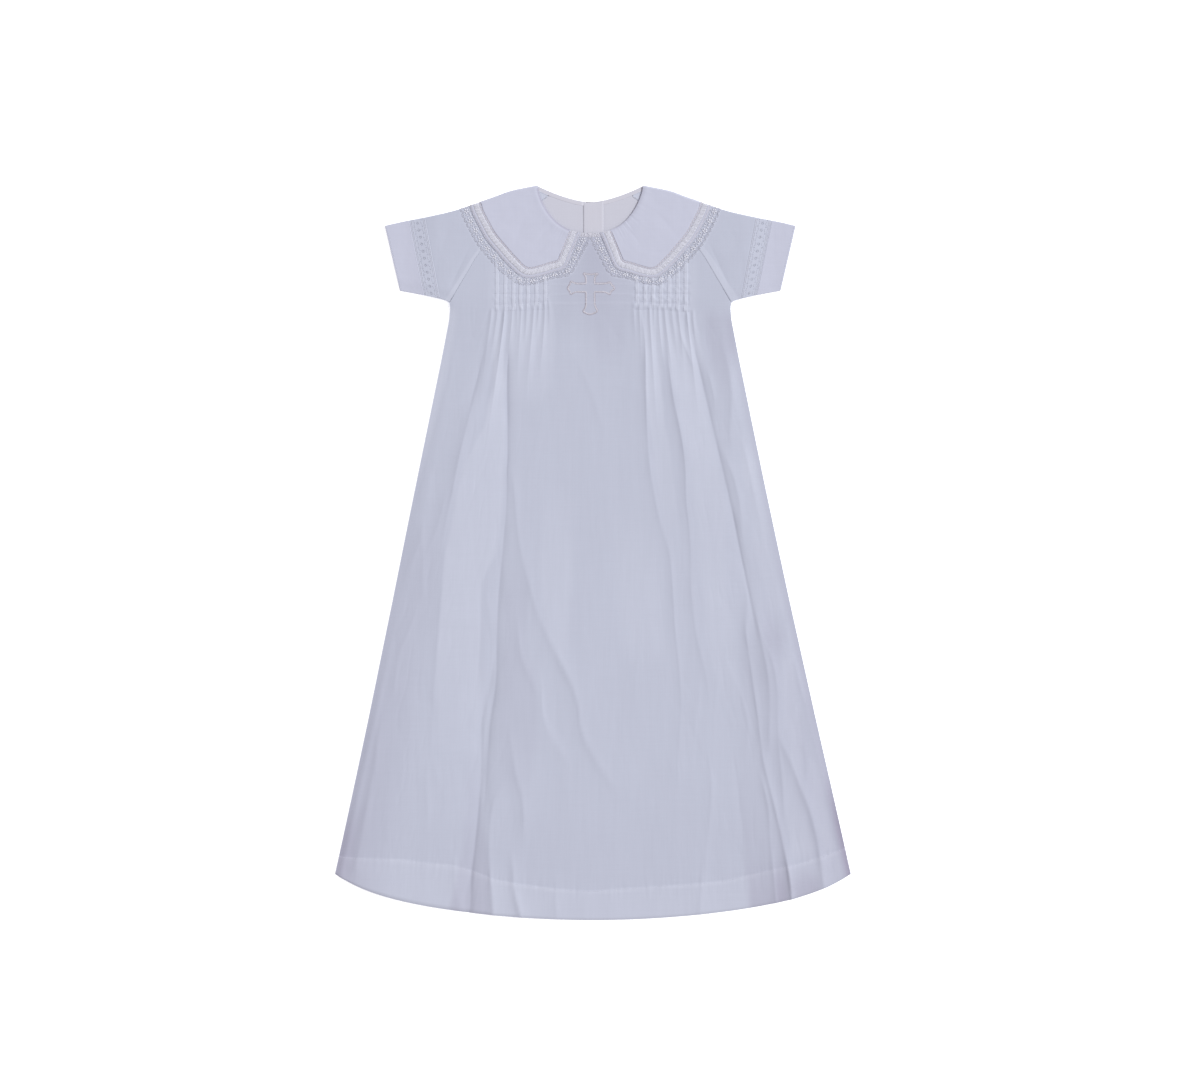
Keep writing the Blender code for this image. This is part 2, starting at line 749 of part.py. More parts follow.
def build_buttons(home):
    """Turned from a profile: flat on the underside, with a dished face."""
    r, t = BUTTON_R, BUTTON_T
    profile = [(0.0, t), (r * 0.8, t), (r, t * 0.5), (r * 0.8, 0.0), (r * 0.55, 0.0), (r * 0.4, 0.3), (0.0, 0.3)]
    for name, y in BUTTONS:
        bm = bmesh.new()
        verts = [bm.verts.new((x * MM, 0, z * MM)) for x, z in profile]
        for a, b in zip(verts, verts[1:]):
            bm.edges.new((a, b))
        obj = add_object(name, bm, home, (0.93, 0.93, 0.95), 0.3, smooth=False)
        obj.location = (BUTTON_X * MM, (y + LIE_Y) * MM, 0)
        turn = obj.modifiers.new("turn", "SCREW")
        turn.angle = 2 * math.pi
        turn.steps = turn.render_steps = 14
        turn.use_merge_vertices = True
        turn.merge_threshold = 0.00005
        turn.use_smooth_shade = True


# ---------------------------------------------------------------- all of it
def main():
    for obj in list(bpy.data.objects):
        bpy.data.objects.remove(obj, do_unlink=True)
    home = bpy.data.collections.new("christening_gown")
    bpy.context.scene.collection.children.link(home)
    build_front(home)
    _, low = build_back(home)
    build_sleeves(home)
    build_collar(home)
    build_binding(home)
    build_placket(home, low)
    build_buttons(home)


main()
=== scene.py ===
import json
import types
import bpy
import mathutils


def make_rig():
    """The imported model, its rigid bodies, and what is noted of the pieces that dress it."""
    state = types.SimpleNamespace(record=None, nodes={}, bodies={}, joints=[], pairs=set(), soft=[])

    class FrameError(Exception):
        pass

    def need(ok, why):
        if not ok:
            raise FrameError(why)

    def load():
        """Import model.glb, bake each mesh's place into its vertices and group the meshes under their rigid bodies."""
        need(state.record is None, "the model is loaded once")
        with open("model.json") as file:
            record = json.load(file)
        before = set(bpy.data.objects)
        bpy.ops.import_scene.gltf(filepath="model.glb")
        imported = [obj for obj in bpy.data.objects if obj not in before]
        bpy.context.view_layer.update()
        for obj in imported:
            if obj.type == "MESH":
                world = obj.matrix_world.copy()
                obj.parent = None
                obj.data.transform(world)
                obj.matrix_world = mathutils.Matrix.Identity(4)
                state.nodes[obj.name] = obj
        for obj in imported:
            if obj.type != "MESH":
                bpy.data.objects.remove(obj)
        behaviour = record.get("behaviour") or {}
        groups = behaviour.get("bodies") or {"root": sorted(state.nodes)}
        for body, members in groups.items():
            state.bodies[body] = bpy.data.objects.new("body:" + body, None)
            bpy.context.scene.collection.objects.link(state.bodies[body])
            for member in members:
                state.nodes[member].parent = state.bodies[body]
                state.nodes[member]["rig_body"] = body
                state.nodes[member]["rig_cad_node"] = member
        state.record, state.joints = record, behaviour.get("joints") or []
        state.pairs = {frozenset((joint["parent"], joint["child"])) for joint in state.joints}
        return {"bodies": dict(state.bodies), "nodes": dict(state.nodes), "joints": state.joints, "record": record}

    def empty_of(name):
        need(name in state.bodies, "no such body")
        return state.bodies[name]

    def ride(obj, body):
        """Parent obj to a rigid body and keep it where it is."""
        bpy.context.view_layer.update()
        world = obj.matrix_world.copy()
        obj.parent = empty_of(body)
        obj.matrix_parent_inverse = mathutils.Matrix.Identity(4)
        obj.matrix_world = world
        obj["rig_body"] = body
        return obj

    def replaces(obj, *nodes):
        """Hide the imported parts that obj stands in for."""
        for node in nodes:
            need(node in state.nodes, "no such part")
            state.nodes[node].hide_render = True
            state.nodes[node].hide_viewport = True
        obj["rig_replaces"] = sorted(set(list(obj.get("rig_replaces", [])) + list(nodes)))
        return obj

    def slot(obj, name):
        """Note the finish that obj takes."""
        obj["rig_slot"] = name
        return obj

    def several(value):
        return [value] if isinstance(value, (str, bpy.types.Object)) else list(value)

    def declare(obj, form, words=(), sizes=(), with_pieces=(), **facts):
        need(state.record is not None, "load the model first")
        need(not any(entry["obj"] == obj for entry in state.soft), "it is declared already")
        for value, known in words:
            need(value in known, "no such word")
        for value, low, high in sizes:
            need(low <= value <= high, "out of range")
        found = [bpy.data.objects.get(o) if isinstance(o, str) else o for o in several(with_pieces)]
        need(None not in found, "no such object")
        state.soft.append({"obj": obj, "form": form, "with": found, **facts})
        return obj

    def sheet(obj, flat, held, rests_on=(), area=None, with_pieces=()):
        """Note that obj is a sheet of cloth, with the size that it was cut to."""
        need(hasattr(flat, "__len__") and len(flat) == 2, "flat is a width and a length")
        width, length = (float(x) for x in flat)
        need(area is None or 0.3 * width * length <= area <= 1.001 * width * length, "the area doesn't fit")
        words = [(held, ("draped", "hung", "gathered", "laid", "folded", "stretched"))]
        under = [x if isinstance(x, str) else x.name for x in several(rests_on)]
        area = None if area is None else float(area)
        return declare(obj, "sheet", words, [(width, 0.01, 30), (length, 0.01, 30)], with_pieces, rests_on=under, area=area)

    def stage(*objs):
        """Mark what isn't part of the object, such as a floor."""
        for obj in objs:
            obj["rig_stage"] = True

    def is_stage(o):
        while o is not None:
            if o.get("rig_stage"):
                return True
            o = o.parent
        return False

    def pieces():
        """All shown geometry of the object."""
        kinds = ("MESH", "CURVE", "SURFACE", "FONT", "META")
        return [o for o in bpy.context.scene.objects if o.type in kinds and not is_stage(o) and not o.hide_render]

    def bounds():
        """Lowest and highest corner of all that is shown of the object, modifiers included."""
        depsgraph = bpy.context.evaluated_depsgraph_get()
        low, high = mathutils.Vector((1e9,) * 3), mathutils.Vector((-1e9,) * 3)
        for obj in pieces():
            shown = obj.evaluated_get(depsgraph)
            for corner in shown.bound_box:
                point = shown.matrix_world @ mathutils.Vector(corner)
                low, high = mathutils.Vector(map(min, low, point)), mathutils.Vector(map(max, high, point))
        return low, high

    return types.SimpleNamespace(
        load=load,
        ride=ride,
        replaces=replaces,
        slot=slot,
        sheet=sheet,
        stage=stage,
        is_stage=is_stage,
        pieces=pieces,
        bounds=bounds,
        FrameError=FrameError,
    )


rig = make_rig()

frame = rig.load()
cad_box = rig.bounds()

# Christening gown of white batiste, laid flat on its back: the cloth, its creases, tucks, lace and stitching.
# All tables are in millimetres, in the frame of the solids: X to the right, Y from hem to neck, Z up out of the front.
# x' below means a distance from the neck's centre line, YOKE_X.

import json
import math

import bpy
import numpy as np

MM = 0.001
RNG = np.random.default_rng(7)

# ---------------------------------------------------------------- sizes shared with the solids, mm
YOKE_X, LIE_Y = -2.5, -0.7
HEM_SIDE_Y, HEM_DROP = -306.2, 43.8
UNDERARM = (134.3, 238.0)
SHOULDER = (50.05, 349.5)
NECK_FRONT, NECK_BACK = 44.8, 15.3
BINDING, SEAM = 4.0, 0.3
BAND, LACE, INSERTION, CUFF = 9.0, 11.5, 16.2, 22.9
BACK_COLLAR_DEPTH, COLLAR_END = 62.0, 6.7
PLACKET_LOW = 252.0
NOTCH = (-7.3, 9.6)
OVER_STRIP, UNDER_STRIP = (-6.9, 9.2), (-9.2, 9.4)
NECK_END_FRONT, NECK_END_BACK = 64.0, 50.0
BUTTONS = (("button_top", 326.0), ("button_middle", 296.0), ("button_low", 263.0))
BUTTON_X, BUTTON_R = -2.3, 4.2

THIN = 0.32  # a single layer of cloth
THICK = 0.5  # two layers sewn together

SIDE = [(-306.2, 245.9), (-159.4, 213.5), (-45.0, 189.1), (69.3, 165.4), (183.7, 142.0), (221.8, 134.6), (233.0, 133.6),
        (238.0, 134.3)]
RAGLAN_FRONT = [UNDERARM, (120.0, 262.5), (105.2, 286.6), (90.5, 303.0), (76.0, 316.0), (61.5, 326.5)]
RAGLAN_BACK = [UNDERARM, (118.0, 262.0), (102.0, 285.5), (86.0, 305.0), (69.0, 320.0), (54.0, 330.0)]
TOP_FOLD = [SHOULDER, (76.6, 344.0), (92.0, 338.4), (127.7, 326.6), (151.5, 320.9), (181.5, 315.2), (195.8, 311.8)]
SLEEVE_LOW = [(139.2, 241.0), (163.0, 246.6), (181.5, 250.0)]
COLLAR_FRONT_EDGE = [
    # neck angle, edge x', edge y, lace share
    (23.0, 31.5, 278.8, 0.85),
    (28.0, 39.6, 276.6, 0.62),
    (33.0, 47.5, 274.0, 0.6),
    (39.0, 60.0, 272.0, 0.78),
    (45.0, 70.0, 280.6, 0.95),
    (53.0, 81.2, 293.2, 1.0),
    (62.0, 90.6, 304.6, 1.0),
    (72.0, 97.0, 316.0, 1.0),
    (82.0, 102.6, 327.0, 1.0),
]
EDGE_FOLD_X = 105.0
LACE_AT_NECK = 1.15

# ---------------------------------------------------------------- tucks, mm
# The stitched line of each pin tuck, x' on the left and on the right; each lies pressed outwards from it.
TUCKS = {
    -1: [41.0, 49.4, 57.6, 64.6, 71.2, 79.0, 87.2],
    1: [42.6, 50.4, 58.0, 65.6, 73.4, 81.4, 89.2],
}
TUCK_WIDE = 3.5
# Where the tucks are let out, from the innermost outwards.
TUCK_LOW = {-1: [238.5, 236.0, 235.0, 233.6, 232.4, 231.8, 231.2], 1: [237.0, 235.8, 236.2, 234.0, 234.6, 231.6, 229.4]}
# Rows of stitching that cross the tucks: y, how strong on the left, in the middle and on the right.
CROSS_ROWS = [
    (267.0, 0.35, 0.15, 0.5),
    (256.5, 0.5, 0.55, 0.9),
    (247.0, 0.75, 0.6, 1.0),
    (238.2, 0.9, 0.75, 1.0),
    (231.5, 0.4, 0.0, 0.8),
]

# ---------------------------------------------------------------- creases of the front, mm
# Each follows a line of (x, y, height), a ridge above 0 and a valley below, and dies away to its left and its right
# over a reach of its own.
FOLDS = [
    # name, reach to its left, reach to its right, softness of its edge, points
    ("left main", 12, 2.8, 0.8, [(-79, 222, 0), (-80.5, 202, -.3), (-81.5, 182, -.9), (-82, 159, -1.25), (-81.5, 123, -1.15), (-81.5, 86, -.85)]),
    ("left main low", 20, 5.5, 1.1, [(-81.5, 96, 0), (-82, 80, -.45), (-82.5, 50, -.85), (-86.5, 0, -1.25), (-90, -40, -1.35),
     (-92, -85, -1.3), (-92.5, -119, -1.6), (-98.5, -164, -1.7), (-101.5, -205, -1.4), (-104, -245, -.5), (-106, -262, 0)]),
    ("left twin line", 22, 4.2, 1.0, [(-94, -96, 0), (-97.5, -122, -.8), (-103.5, -144, -1.1), (-106.5, -165, -1.3), (-106.5, -200, -1.2),
     (-109, -240, -1.5), (-112.5, -277, -1.5), (-116.5, -311, -2.0), (-118.5, -345, -2.3)]),
    ("left second", 4.5, 12, 1.2, [(-80, -214, 0), (-94, -236, .65), (-98, -262, .7), (-99, -292, .8), (-97, -318, 1.2), (-95, -345, 1.3)]),
    ("left side top", 20, 3.0, 0.6, [(-102, 206, 0), (-105, 190, -.4), (-111.5, 162, -.95), (-116, 146, -.7), (-119, 130, 0)]),
    ("left side", 7.5, 22, 1.1, [(-111, 152, 0), (-118, 128, 1.3), (-124, 105, 1.45), (-130, 78, 1.35), (-135, 52, 1.1), (-139, 34, .85),
     (-143, 12, .3), (-145, -2, 0)]),
    ("left side twin", 5, 14, 1.1, [(-140, 60, 0), (-143.5, 42, .5), (-149, 22, .45), (-156, 6, .35), (-160, -4, 0)]),
    ("left edge top", 7, 18, 1.2, [(-139, 160, 0), (-146, 132, .55), (-153, 106, .75), (-158.5, 82, 1.0), (-165, 58, 1.1), (-170, 38, 1.0),
     (-175, 18, .6), (-180, 0, .3), (-184, -16, 0)]),
    ("left crow a", 4.5, 9, 0.8, [(-162, 34, 0), (-163.5, 14, .7), (-162, -4, .6), (-163, -28, .5), (-162, -50, 0)]),
    ("left crow b", 5.5, 8, 0.9, [(-163, 16, 0), (-169, 0, .65), (-176, -14, .55), (-182, -30, .25), (-186, -44, 0)]),
    ("left crow c", 5, 9, 1.1, [(-166, -44, 0), (-171, -62, .35), (-179, -82, .45), (-186, -100, .4), (-189, -126, .5), (-193, -142, 0)]),
    ("left third", 6, 20, 0.9, [(-139, 14, 0), (-142.5, -12, .3), (-144.5, -40, .55), (-147.5, -80, .55), (-150.5, -122, .5),
     (-153, -150, .25), (-154, -190, .2), (-154, -200, 0)]),
    ("left fork a", 3.5, 6, 0.9, [(-154, -192, 0), (-151, -206, .25), (-145, -222, .28), (-139, -238, 0)]),
    ("left fork b", 3.5, 8, 0.9, [(-157, -196, 0), (-159, -212, .25), (-158, -240, .3), (-157, -262, 0)]),
    ("left wide edge", 9, 15, 1.6, [(-196, -120, 0), (-203, -166, .4), (-208, -196, .6), (-214, -238, .7), (-221, -275, 1.0),
     (-226, -300, 1.2)]),
    ("left edge line", 4, 8, 0.9, [(-202, -160, 0), (-205, -176, .35), (-207, -205, .35), (-213, -228, .3), (-220, -262, .3), (-222, -284, 0)]),
    ("plateau end", 4, 12, 0.8, [(-106, -22, 0), (-106.5, -42, -.25), (-107.5, -82, -.35), (-110, -120, -.3), (-112, -134, 0)]),
    ("ribbon side", 4, 7, 0.8, [(-103, -30, 0), (-101, -42, .25), (-98, -66, .25), (-97, -78, 0)]),
    ("middle long", 4.4, 9, 0.8, [(-80, 92, 0), (-76, 68, .35), (-73.5, 42, .5), (-71, 16, .45), (-66, -10, .45), (-60, -32, .5), (-55, -52, .55),
     (-47, -72, .7), (-37, -92, .95), (-28, -110, 1.15), (-19, -129, 1.1), (-13.5, -148, .75), (-12, -166, .8), (-5, -184, .95),
     (6, -203, .8), (16, -217, .4), (26, -232, 0)]),
    ("pressed across a", 2.0, 3.5, 0.5, [(-156, -64, 0), (-142, -65.5, .28), (-122, -66.5, .3), (-110, -66, .15), (-100, -65, 0)]),
    ("pressed across b", 2.0, 3.5, 0.5, [(-160, -141, 0), (-144, -142, .28), (-124, -143, .3), (-112, -142.5, .2), (-104, -141, 0)]),
    ("middle short", 4, 8, 0.8, [(-73, -58, 0), (-71, -78, .4), (-68, -100, .65), (-62, -114, .55), (-56, -126, .4), (-51, -140, 0)]),
    ("middle ridge", 24, 3.6, 0.7, [(-54, -104, 0), (-49, -126, .35), (-48, -150, .65), (-44, -166, .7), (-35, -181, .7), (-27.5, -193, .5),
     (-20, -206, 0)]),
    ("middle low", 5.5, 16, 0.8, [(-82, -164, 0), (-77, -188, .7), (-73.5, -212, 1.0), (-67.5, -232, 1.1), (-66, -250, 1.0), (-66, -268, .5),
     (-67, -286, 0)]),
    ("middle faint", 3.5, 8, 0.8, [(66, -84, 0), (56, -94, .2), (46, -103, .3), (38, -113, .2), (33, -122, 0)]),
    ("middle dip", 4.5, 9, 0.9, [(-18, 190, 0), (-8, 168, .3), (2, 143, .35), (8, 124, .25), (14, 108, 0)]),
    ("middle thread", 2.6, 5, 0.6, [(16, 162, 0), (28, 157, .2), (40, 154.5, .25), (48, 153, 0)]),
    ("hem dip left", 5, 7, 0.8, [(-79, -282, 0), (-76, -304, 1.0), (-75, -322, 1.4), (-69, -345, 1.7)]),
    ("hem dip far left", 5, 12, 1.1, [(-131, -286, 0), (-132, -304, .5), (-131, -322, .8), (-127, -340, .8)]),
    ("hem dip middle", 5, 9, 1.1, [(-34, -304, 0), (-36, -322, .45), (-35, -345, .5)]),
    ("hem dip right", 5, 10, 1.0, [(105, -296, 0), (103, -318, .7), (102, -345, .7)]),
    ("right first", 4.6, 7.0, 0.6, [(45, 234, 0), (49.5, 204, 1.2), (50.5, 160, 1.7), (51.5, 122, 1.0), (54, 84, .8), (60, 48, .65), (65, 26, .5),
     (73, 0, .45), (76, -34, .6), (78.5, -74, .55), (83, -118, .5), (84, -150, .3), (81, -200, .3), (82, -230, 0)]),
    ("right second", 4.6, 16, 0.7, [(66, 224, 0), (70, 200, .5), (73.5, 170, 1.1), (77.5, 143, 1.3), (83, 118, 1.45), (88, 84, 1.1), (89, 50, .7),
     (93, 10, .5), (94, -40, .6), (99, -80, .7), (108, -118, .4), (112, -150, 0)]),
    ("right lap", 3.5, 7, 0.8, [(82, 214, 0), (86.5, 200, .75), (92, 186, .5), (97, 174, 0)]),
    ("right main", 20, 3.0, 0.7, [(88, 226, 0), (93, 207, -.6), (99, 184, -.9), (104, 163, -1.1), (113, 124, -1.05), (122, 86, -.95), (130.3, 50, -1.1),
     (138.8, 8, -1.5), (145, -22, -1.3), (150, -46, -1.2), (154, -68, -.6), (157, -84, 0)]),
    ("right main twin", 6, 14, 1.0, [(122, 100, 0), (131, 80, .9), (138, 58, .9), (140.5, 40, .85), (142, 18, .6), (146, 2, 0)]),
    ("right branch", 3.0, 9, 0.7, [(142, -22, 0), (147, -44, .5), (145.5, -74, 1.0), (148, -92, .7), (152, -120, .85), (157, -156, .9), (162, -196, .95),
     (168, -222, 1.1), (173.5, -244, 1.5), (181, -277, 1.7), (187.5, -312, 2.3), (190.5, -345, 2.6)]),
    ("right wedge", 8, 26, 1.1, [(150, -34, 0), (156, -60, 1.0), (160, -82, 1.9), (165.5, -108, 2.1), (168.5, -134, 1.7), (168.5, -160, 1.4), (168, -182, .9),
     (168, -196, 0)]),
    ("right bend", 3.6, 9, 0.8, [(156, -66, 0), (163, -84, .3), (170, -100, .6), (173.5, -114, .7), (176, -136, .6), (176, -160, .5), (177, -186, .55),
     (180, -212, .7), (181.5, -238, .75), (183, -256, 0)]),
    ("right low line", 3.6, 5, 0.7, [(158, -206, 0), (164, -228, .85), (167.5, -246, .95), (168.5, -268, .6), (171, -296, .8), (173.5, -320, 1.1),
     (175, -345, 1.2)]),
    ("right outer", 5.0, 14, 0.8, [(176, -172, 0), (183, -188, 1.1), (189.5, -202, 1.6), (198.5, -226, 1.3), (205.5, -243, 1.3), (212, -266, 1.4),
     (216, -288, 1.35), (220, -318, 1.4)]),
    ("right soft", 7, 14, 1.4, [(120, 208, 0), (129, 180, .8), (132, 158, 1.2), (132, 136, 1.0), (131, 116, .7), (132, 96, 0)]),
    ("right small top", 3.2, 5, 0.8, [(108, 178, 0), (112.5, 162, .5), (116, 146, .4), (119, 132, 0)]),
    ("right top edge", 4, 9, 1.0, [(140, 122, 0), (143, 104, .3), (148, 84, .55), (152, 62, .4), (157, 40, .3), (161, 22, 0)]),
    ("right thin a", 9, 3.2, 0.7, [(103, -118, 0), (101, -138, .22), (98.5, -160, .25), (95.5, -184, 0)]),
    ("right thin b", 3.0, 7, 0.7, [(120, -104, 0), (118.5, -122, .25), (116, -146, 0)]),
    ("right thin c", 7, 9, 0.6, [(108, -186, 0), (112.5, -208, .45), (112.5, -240, .65), (110.5, -260, .45), (107, -300, .2), (108, -318, 0)]),
    ("right thin d", 7, 3.6, 0.7, [(134, -196, 0), (137, -214, -.3), (139.5, -240, -.4), (142.5, -262, -.4), (142, -284, -.2), (140, -300, 0)]),
    ("right thin e", 9, 3.4, 0.7, [(124, -98, 0), (133, -118, .22), (142, -138, .26), (147, -156, .3), (147.5, -176, .28), (142, -200, 0)]),
    ("right pucker a", 2.8, 5, 0.6, [(174, -116, 0), (180, -108, .4), (188, -102, .45), (194, -97, 0)]),
    ("right pucker b", 3.6, 6, 0.8, [(189, -92, 0), (194.5, -112, .65), (199, -134, .75), (205, -143, .5), (212, -150, 0)]),
    ("right pucker c", 2.8, 5, 0.7, [(188, -158, 0), (192.5, -148, .45), (198, -139, .4), (202, -136, 0)]),
    ("right pucker d", 4, 7, 0.9, [(200, -176, 0), (203, -192, .5), (204, -206, .45), (202, -226, .3), (206, -240, 0)]),
    ("hem crease a", 3, 5, 0.7, [(36, -312, 0), (56, -308.5, .2), (78, -305, .25), (100, -302, 0)]),
    ("hem crease b", 3, 5, 0.7, [(44, -306, 0), (62, -304, .15), (86, -300, 0)]),
    ("chest right", 12, 14, 2.0, [(4, 240, 0), (14, 222, -.3), (24, 204, -.35), (34, 188, 0)]),
]
# Painted light and painted shade in broad bands beside the folds: above 0 painted light, which partly stands for a
# pressed fold laying the cloth in two layers, and below 0 painted shade. Each row gives its left side, its right side,
# how much of it shows, and how sharp its sides are.
LIGHT_SHADE_BANDS = [
    ([(-94, 236), (-95, 160), (-104, 120), (-124, 82), (-132, 40), (-140, 0), (-144.5, -40), (-147.5, -80), (-150.5, -120), (-148, -160)],
     [(-84, 236), (-84, 160), (-84, 120), (-84, 80), (-87, 40), (-91, 0), (-107, -30), (-108, -80), (-108, -120), (-108, -160)],
     [(236, 0), (214, .2), (160, .75), (120, .5), (80, .42), (0, .5), (-80, .5), (-120, .32), (-160, .22), (-200, 0)], 2.2),
    ([(60, 236), (67, 200), (77, 160), (86, 120), (93, 80), (98, 40), (100, 0), (105, -40), (108, -80), (116, -120)],
     [(100, 236), (104, 200), (103, 160), (112, 120), (120, 80), (128, 40), (124, 0), (127, -40), (135, -80), (140, -120)],
     [(236, 0), (200, .4), (160, .55), (120, .5), (80, .42), (0, .28), (-40, .34), (-80, .26), (-120, .1), (-150, 0)], 4.5),
    ([(50, 236), (50, 160), (55, 120), (59, 80), (66, 40), (72, 0)],
     [(66, 236), (66, 160), (69, 120), (75, 80), (80, 40), (84, 0)],
     [(236, 0), (200, .3), (160, .5), (120, .4), (80, .34), (40, .2), (0, 0)], 1.8),
    ([(-40, 80), (-46, 40), (-52, 0), (-50, -40), (-42, -80), (-38, -110)],
     [(-20, 80), (-21, 40), (-18, 0), (-21, -40), (-24, -80), (-27, -110)],
     [(70, 0), (40, .18), (0, .34), (-40, .36), (-80, .28), (-110, 0)], 4.0),
    ([(20, 60), (18, 20), (24, -40), (30, -100)], [(58, 60), (60, 20), (66, -40), (68, -100)],
     [(60, 0), (10, .2), (-40, .28), (-80, .26), (-110, 0)], 9.0),
    ([(138, 110), (142, 80), (152, 40), (154, 0), (166, -40), (177, -80), (180, -120), (183, -160), (190, -200), (184, -240), (189, -280)],
     [(150, 110), (157, 80), (164, 40), (168, 0), (181, -40), (190, -80), (193, -120), (198, -160), (200, -200), (200, -240), (211, -280)],
     [(120, 0), (84, .5), (40, .2), (0, .25), (-40, .25), (-80, .25), (-120, .32), (-160, .3), (-200, .25), (-240, .2), (-280, .6), (-306, .3), (-318, 0)], 3.6),
    ([(206, -190), (208, -240), (219, -280)], [(218, -190), (220, -240), (230, -280)],
     [(-186, 0), (-215, .35), (-250, .4), (-280, .5), (-298, 0)], 4.0),
    ([(-8, 236), (0, 200), (4, 176)], [(34, 236), (30, 200), (26, 176)], [(234, -.3), (210, -.45), (196, -.4), (176, 0)], 9.0),
    ([(-84, -20), (-85, -80), (-86, -120), (-90, -170), (-88, -230)], [(-60, -20), (-66, -80), (-54, -120), (-52, -170), (-62, -230)],
     [(-10, 0), (-40, -.35), (-80, -.35), (-130, -.4), (-170, -.35), (-215, -.25), (-240, 0)], 5.0),
    ([(-186, 10), (-196, -40), (-202, -80), (-206, -120)], [(-146, 10), (-148, -40), (-152, -80), (-178, -120)],
     [(40, 0), (0, -.2), (-40, -.1), (-100, 0), (-130, 0)], 6.0),
    ([(-86, 232), (-82, 200), (-80, 160), (-76, 136)], [(-40, 232), (-38, 200), (-40, 160), (-52, 136)],
     [(234, 0), (214, .35), (160, .32), (136, 0)], 6.0),
    ([(106, 232), (108, 200), (118, 160), (126, 130)], [(138, 232), (136, 200), (130, 160), (132, 130)],
     [(236, 0), (222, -.6), (196, -.8), (160, -.4), (130, 0)], 6.0),
    ([(-99, 290), (-99, 228), (-98, 190)], [(-38, 290), (-38, 228), (-36, 190)], [(285, 0), (272, .35), (228, .35), (205, .22), (178, 0)], 4.0),
    ([(41, 290), (42, 228), (44, 190)], [(99, 290), (99, 228), (100, 190)], [(285, 0), (272, .35), (228, .35), (205, .25), (178, 0)], 4.0),
    ([(160, -50), (162, -80), (168, -110)], [(186, -50), (186, -80), (182, -110)], [(-50, 0), (-80, -.6), (-112, 0)], 6.0),
    ([(186, -286), (188, -320), (192, -350)], [(208, -286), (216, -320), (222, -350)], [(-286, 0), (-316, -1.3), (-350, -1.4)], 6.0),
    ([(172, -286), (174, -320), (176, -350)], [(181, -286), (184, -320), (186, -350)], [(-290, 0), (-316, -.8), (-350, -1.0)], 2.5),
    ([(-124, -190), (-120, -240), (-124, -280), (-138, -345)], [(-106, -190), (-108, -240), (-100, -280), (-98, -345)],
     [(-190, 0), (-220, -.3), (-260, -.4), (-300, -.7), (-345, -1.1)], 4.0),
    ([(140, -100), (142, -160), (140, -240), (146, -300), (150, -345)], [(180, -100), (178, -160), (181, -240), (186, -300), (190, -345)],
     [(-60, 0), (-110, -.25), (-160, -.2), (-230, -.2), (-290, -.5), (-320, -1.2), (-345, -1.7)], 4.5),
]
# The cloth let out under the tucks: x' at the tuck's end, length, height, and width at its foot; a row for each side.
GATHERS = {
    -1: [(40, 30, .5, 6), (44.5, 66, .85, 6), (50, 34, .5, 4), (54, 84, .95, 7), (60, 40, .5, 5), (65.5, 58, .75, 5),
         (70, 36, .45, 5), (75.5, 52, .6, 5), (83, 118, 1.35, 8), (89, 48, .6, 6), (94, 74, .7, 7)],
    1: [(41, 40, .5, 5), (46, 52, .6, 5), (56, 112, 1.15, 7), (61, 40, .5, 5), (66, 62, .7, 5), (72, 72, .85, 6),
        (78, 44, .55, 5), (83.5, 52, .7, 5), (91.5, 92, 1.2, 8), (98, 46, .6, 6)],
}
# Where the hem is stitched down.
HEM_STITCH = [(-246, -289.0), (-226, -290.6), (-183, -292.0), (-151, -296.0), (-133, -297.6), (-112, -304.0),
              (-92, -311.5), (-70, -315.4), (-35, -320.2), (-3, -322.3), (7, -321.6), (51, -318.2), (96, -315.4),
              (128, -312.0), (155, -305.6), (200, -295.0), (246, -280.0)]


# ---------------------------------------------------------------- small maths, on arrays
def ramp(low, high, x):
    t = np.clip((np.asarray(x, float) - low) / (high - low), 0, 1)
    return t * t * (3 - 2 * t)


def lerp(a, b, t):
    return a + (b - a) * t


def unit(v):
    v = np.asarray(v, float)
    return v / np.maximum(np.linalg.norm(v, axis=-1, keepdims=True), 1e-12)


def bell(s, w):
    return np.exp(-((s / w) ** 2))


def curve(points, step=1.0):
    """A smooth line through the points (of any number of coordinates), in even steps along its length."""
    p = np.array(points, float)
    p = np.vstack([2 * p[0] - p[1], p, 2 * p[-1] - p[-2]])
    out = []
    for a, b, c, d in zip(p, p[1:], p[2:], p[3:]):
        ta = 0.0
        tb = ta + max(np.linalg.norm(b[:2] - a[:2]), 1e-9) ** 0.5
        tc = tb + max(np.linalg.norm(c[:2] - b[:2]), 1e-9) ** 0.5
        td = tc + max(np.linalg.norm(d[:2] - c[:2]), 1e-9) ** 0.5
        n = max(4, int(np.linalg.norm(c[:2] - b[:2]) / step * 2))
        t = np.linspace(tb, tc, n, endpoint=False)[:, None]
        a1 = (tb - t) / (tb - ta) * a + (t - ta) / (tb - ta) * b
        a2 = (tc - t) / (tc - tb) * b + (t - tb) / (tc - tb) * c
        a3 = (td - t) / (td - tc) * c + (t - tc) / (td - tc) * d
        b1 = (tc - t) / (tc - ta) * a1 + (t - ta) / (tc - ta) * a2
        b2 = (td - t) / (td - tb) * a2 + (t - tb) / (td - tb) * a3
        out.append((tc - t) / (tc - tb) * b1 + (t - tb) / (tc - tb) * b2)
    line = np.vstack(out + [p[-2][None]])
    return even(line, step)


def lengths(line):
    return np.concatenate([[0], np.cumsum(np.linalg.norm(np.diff(line, axis=0), axis=1))])


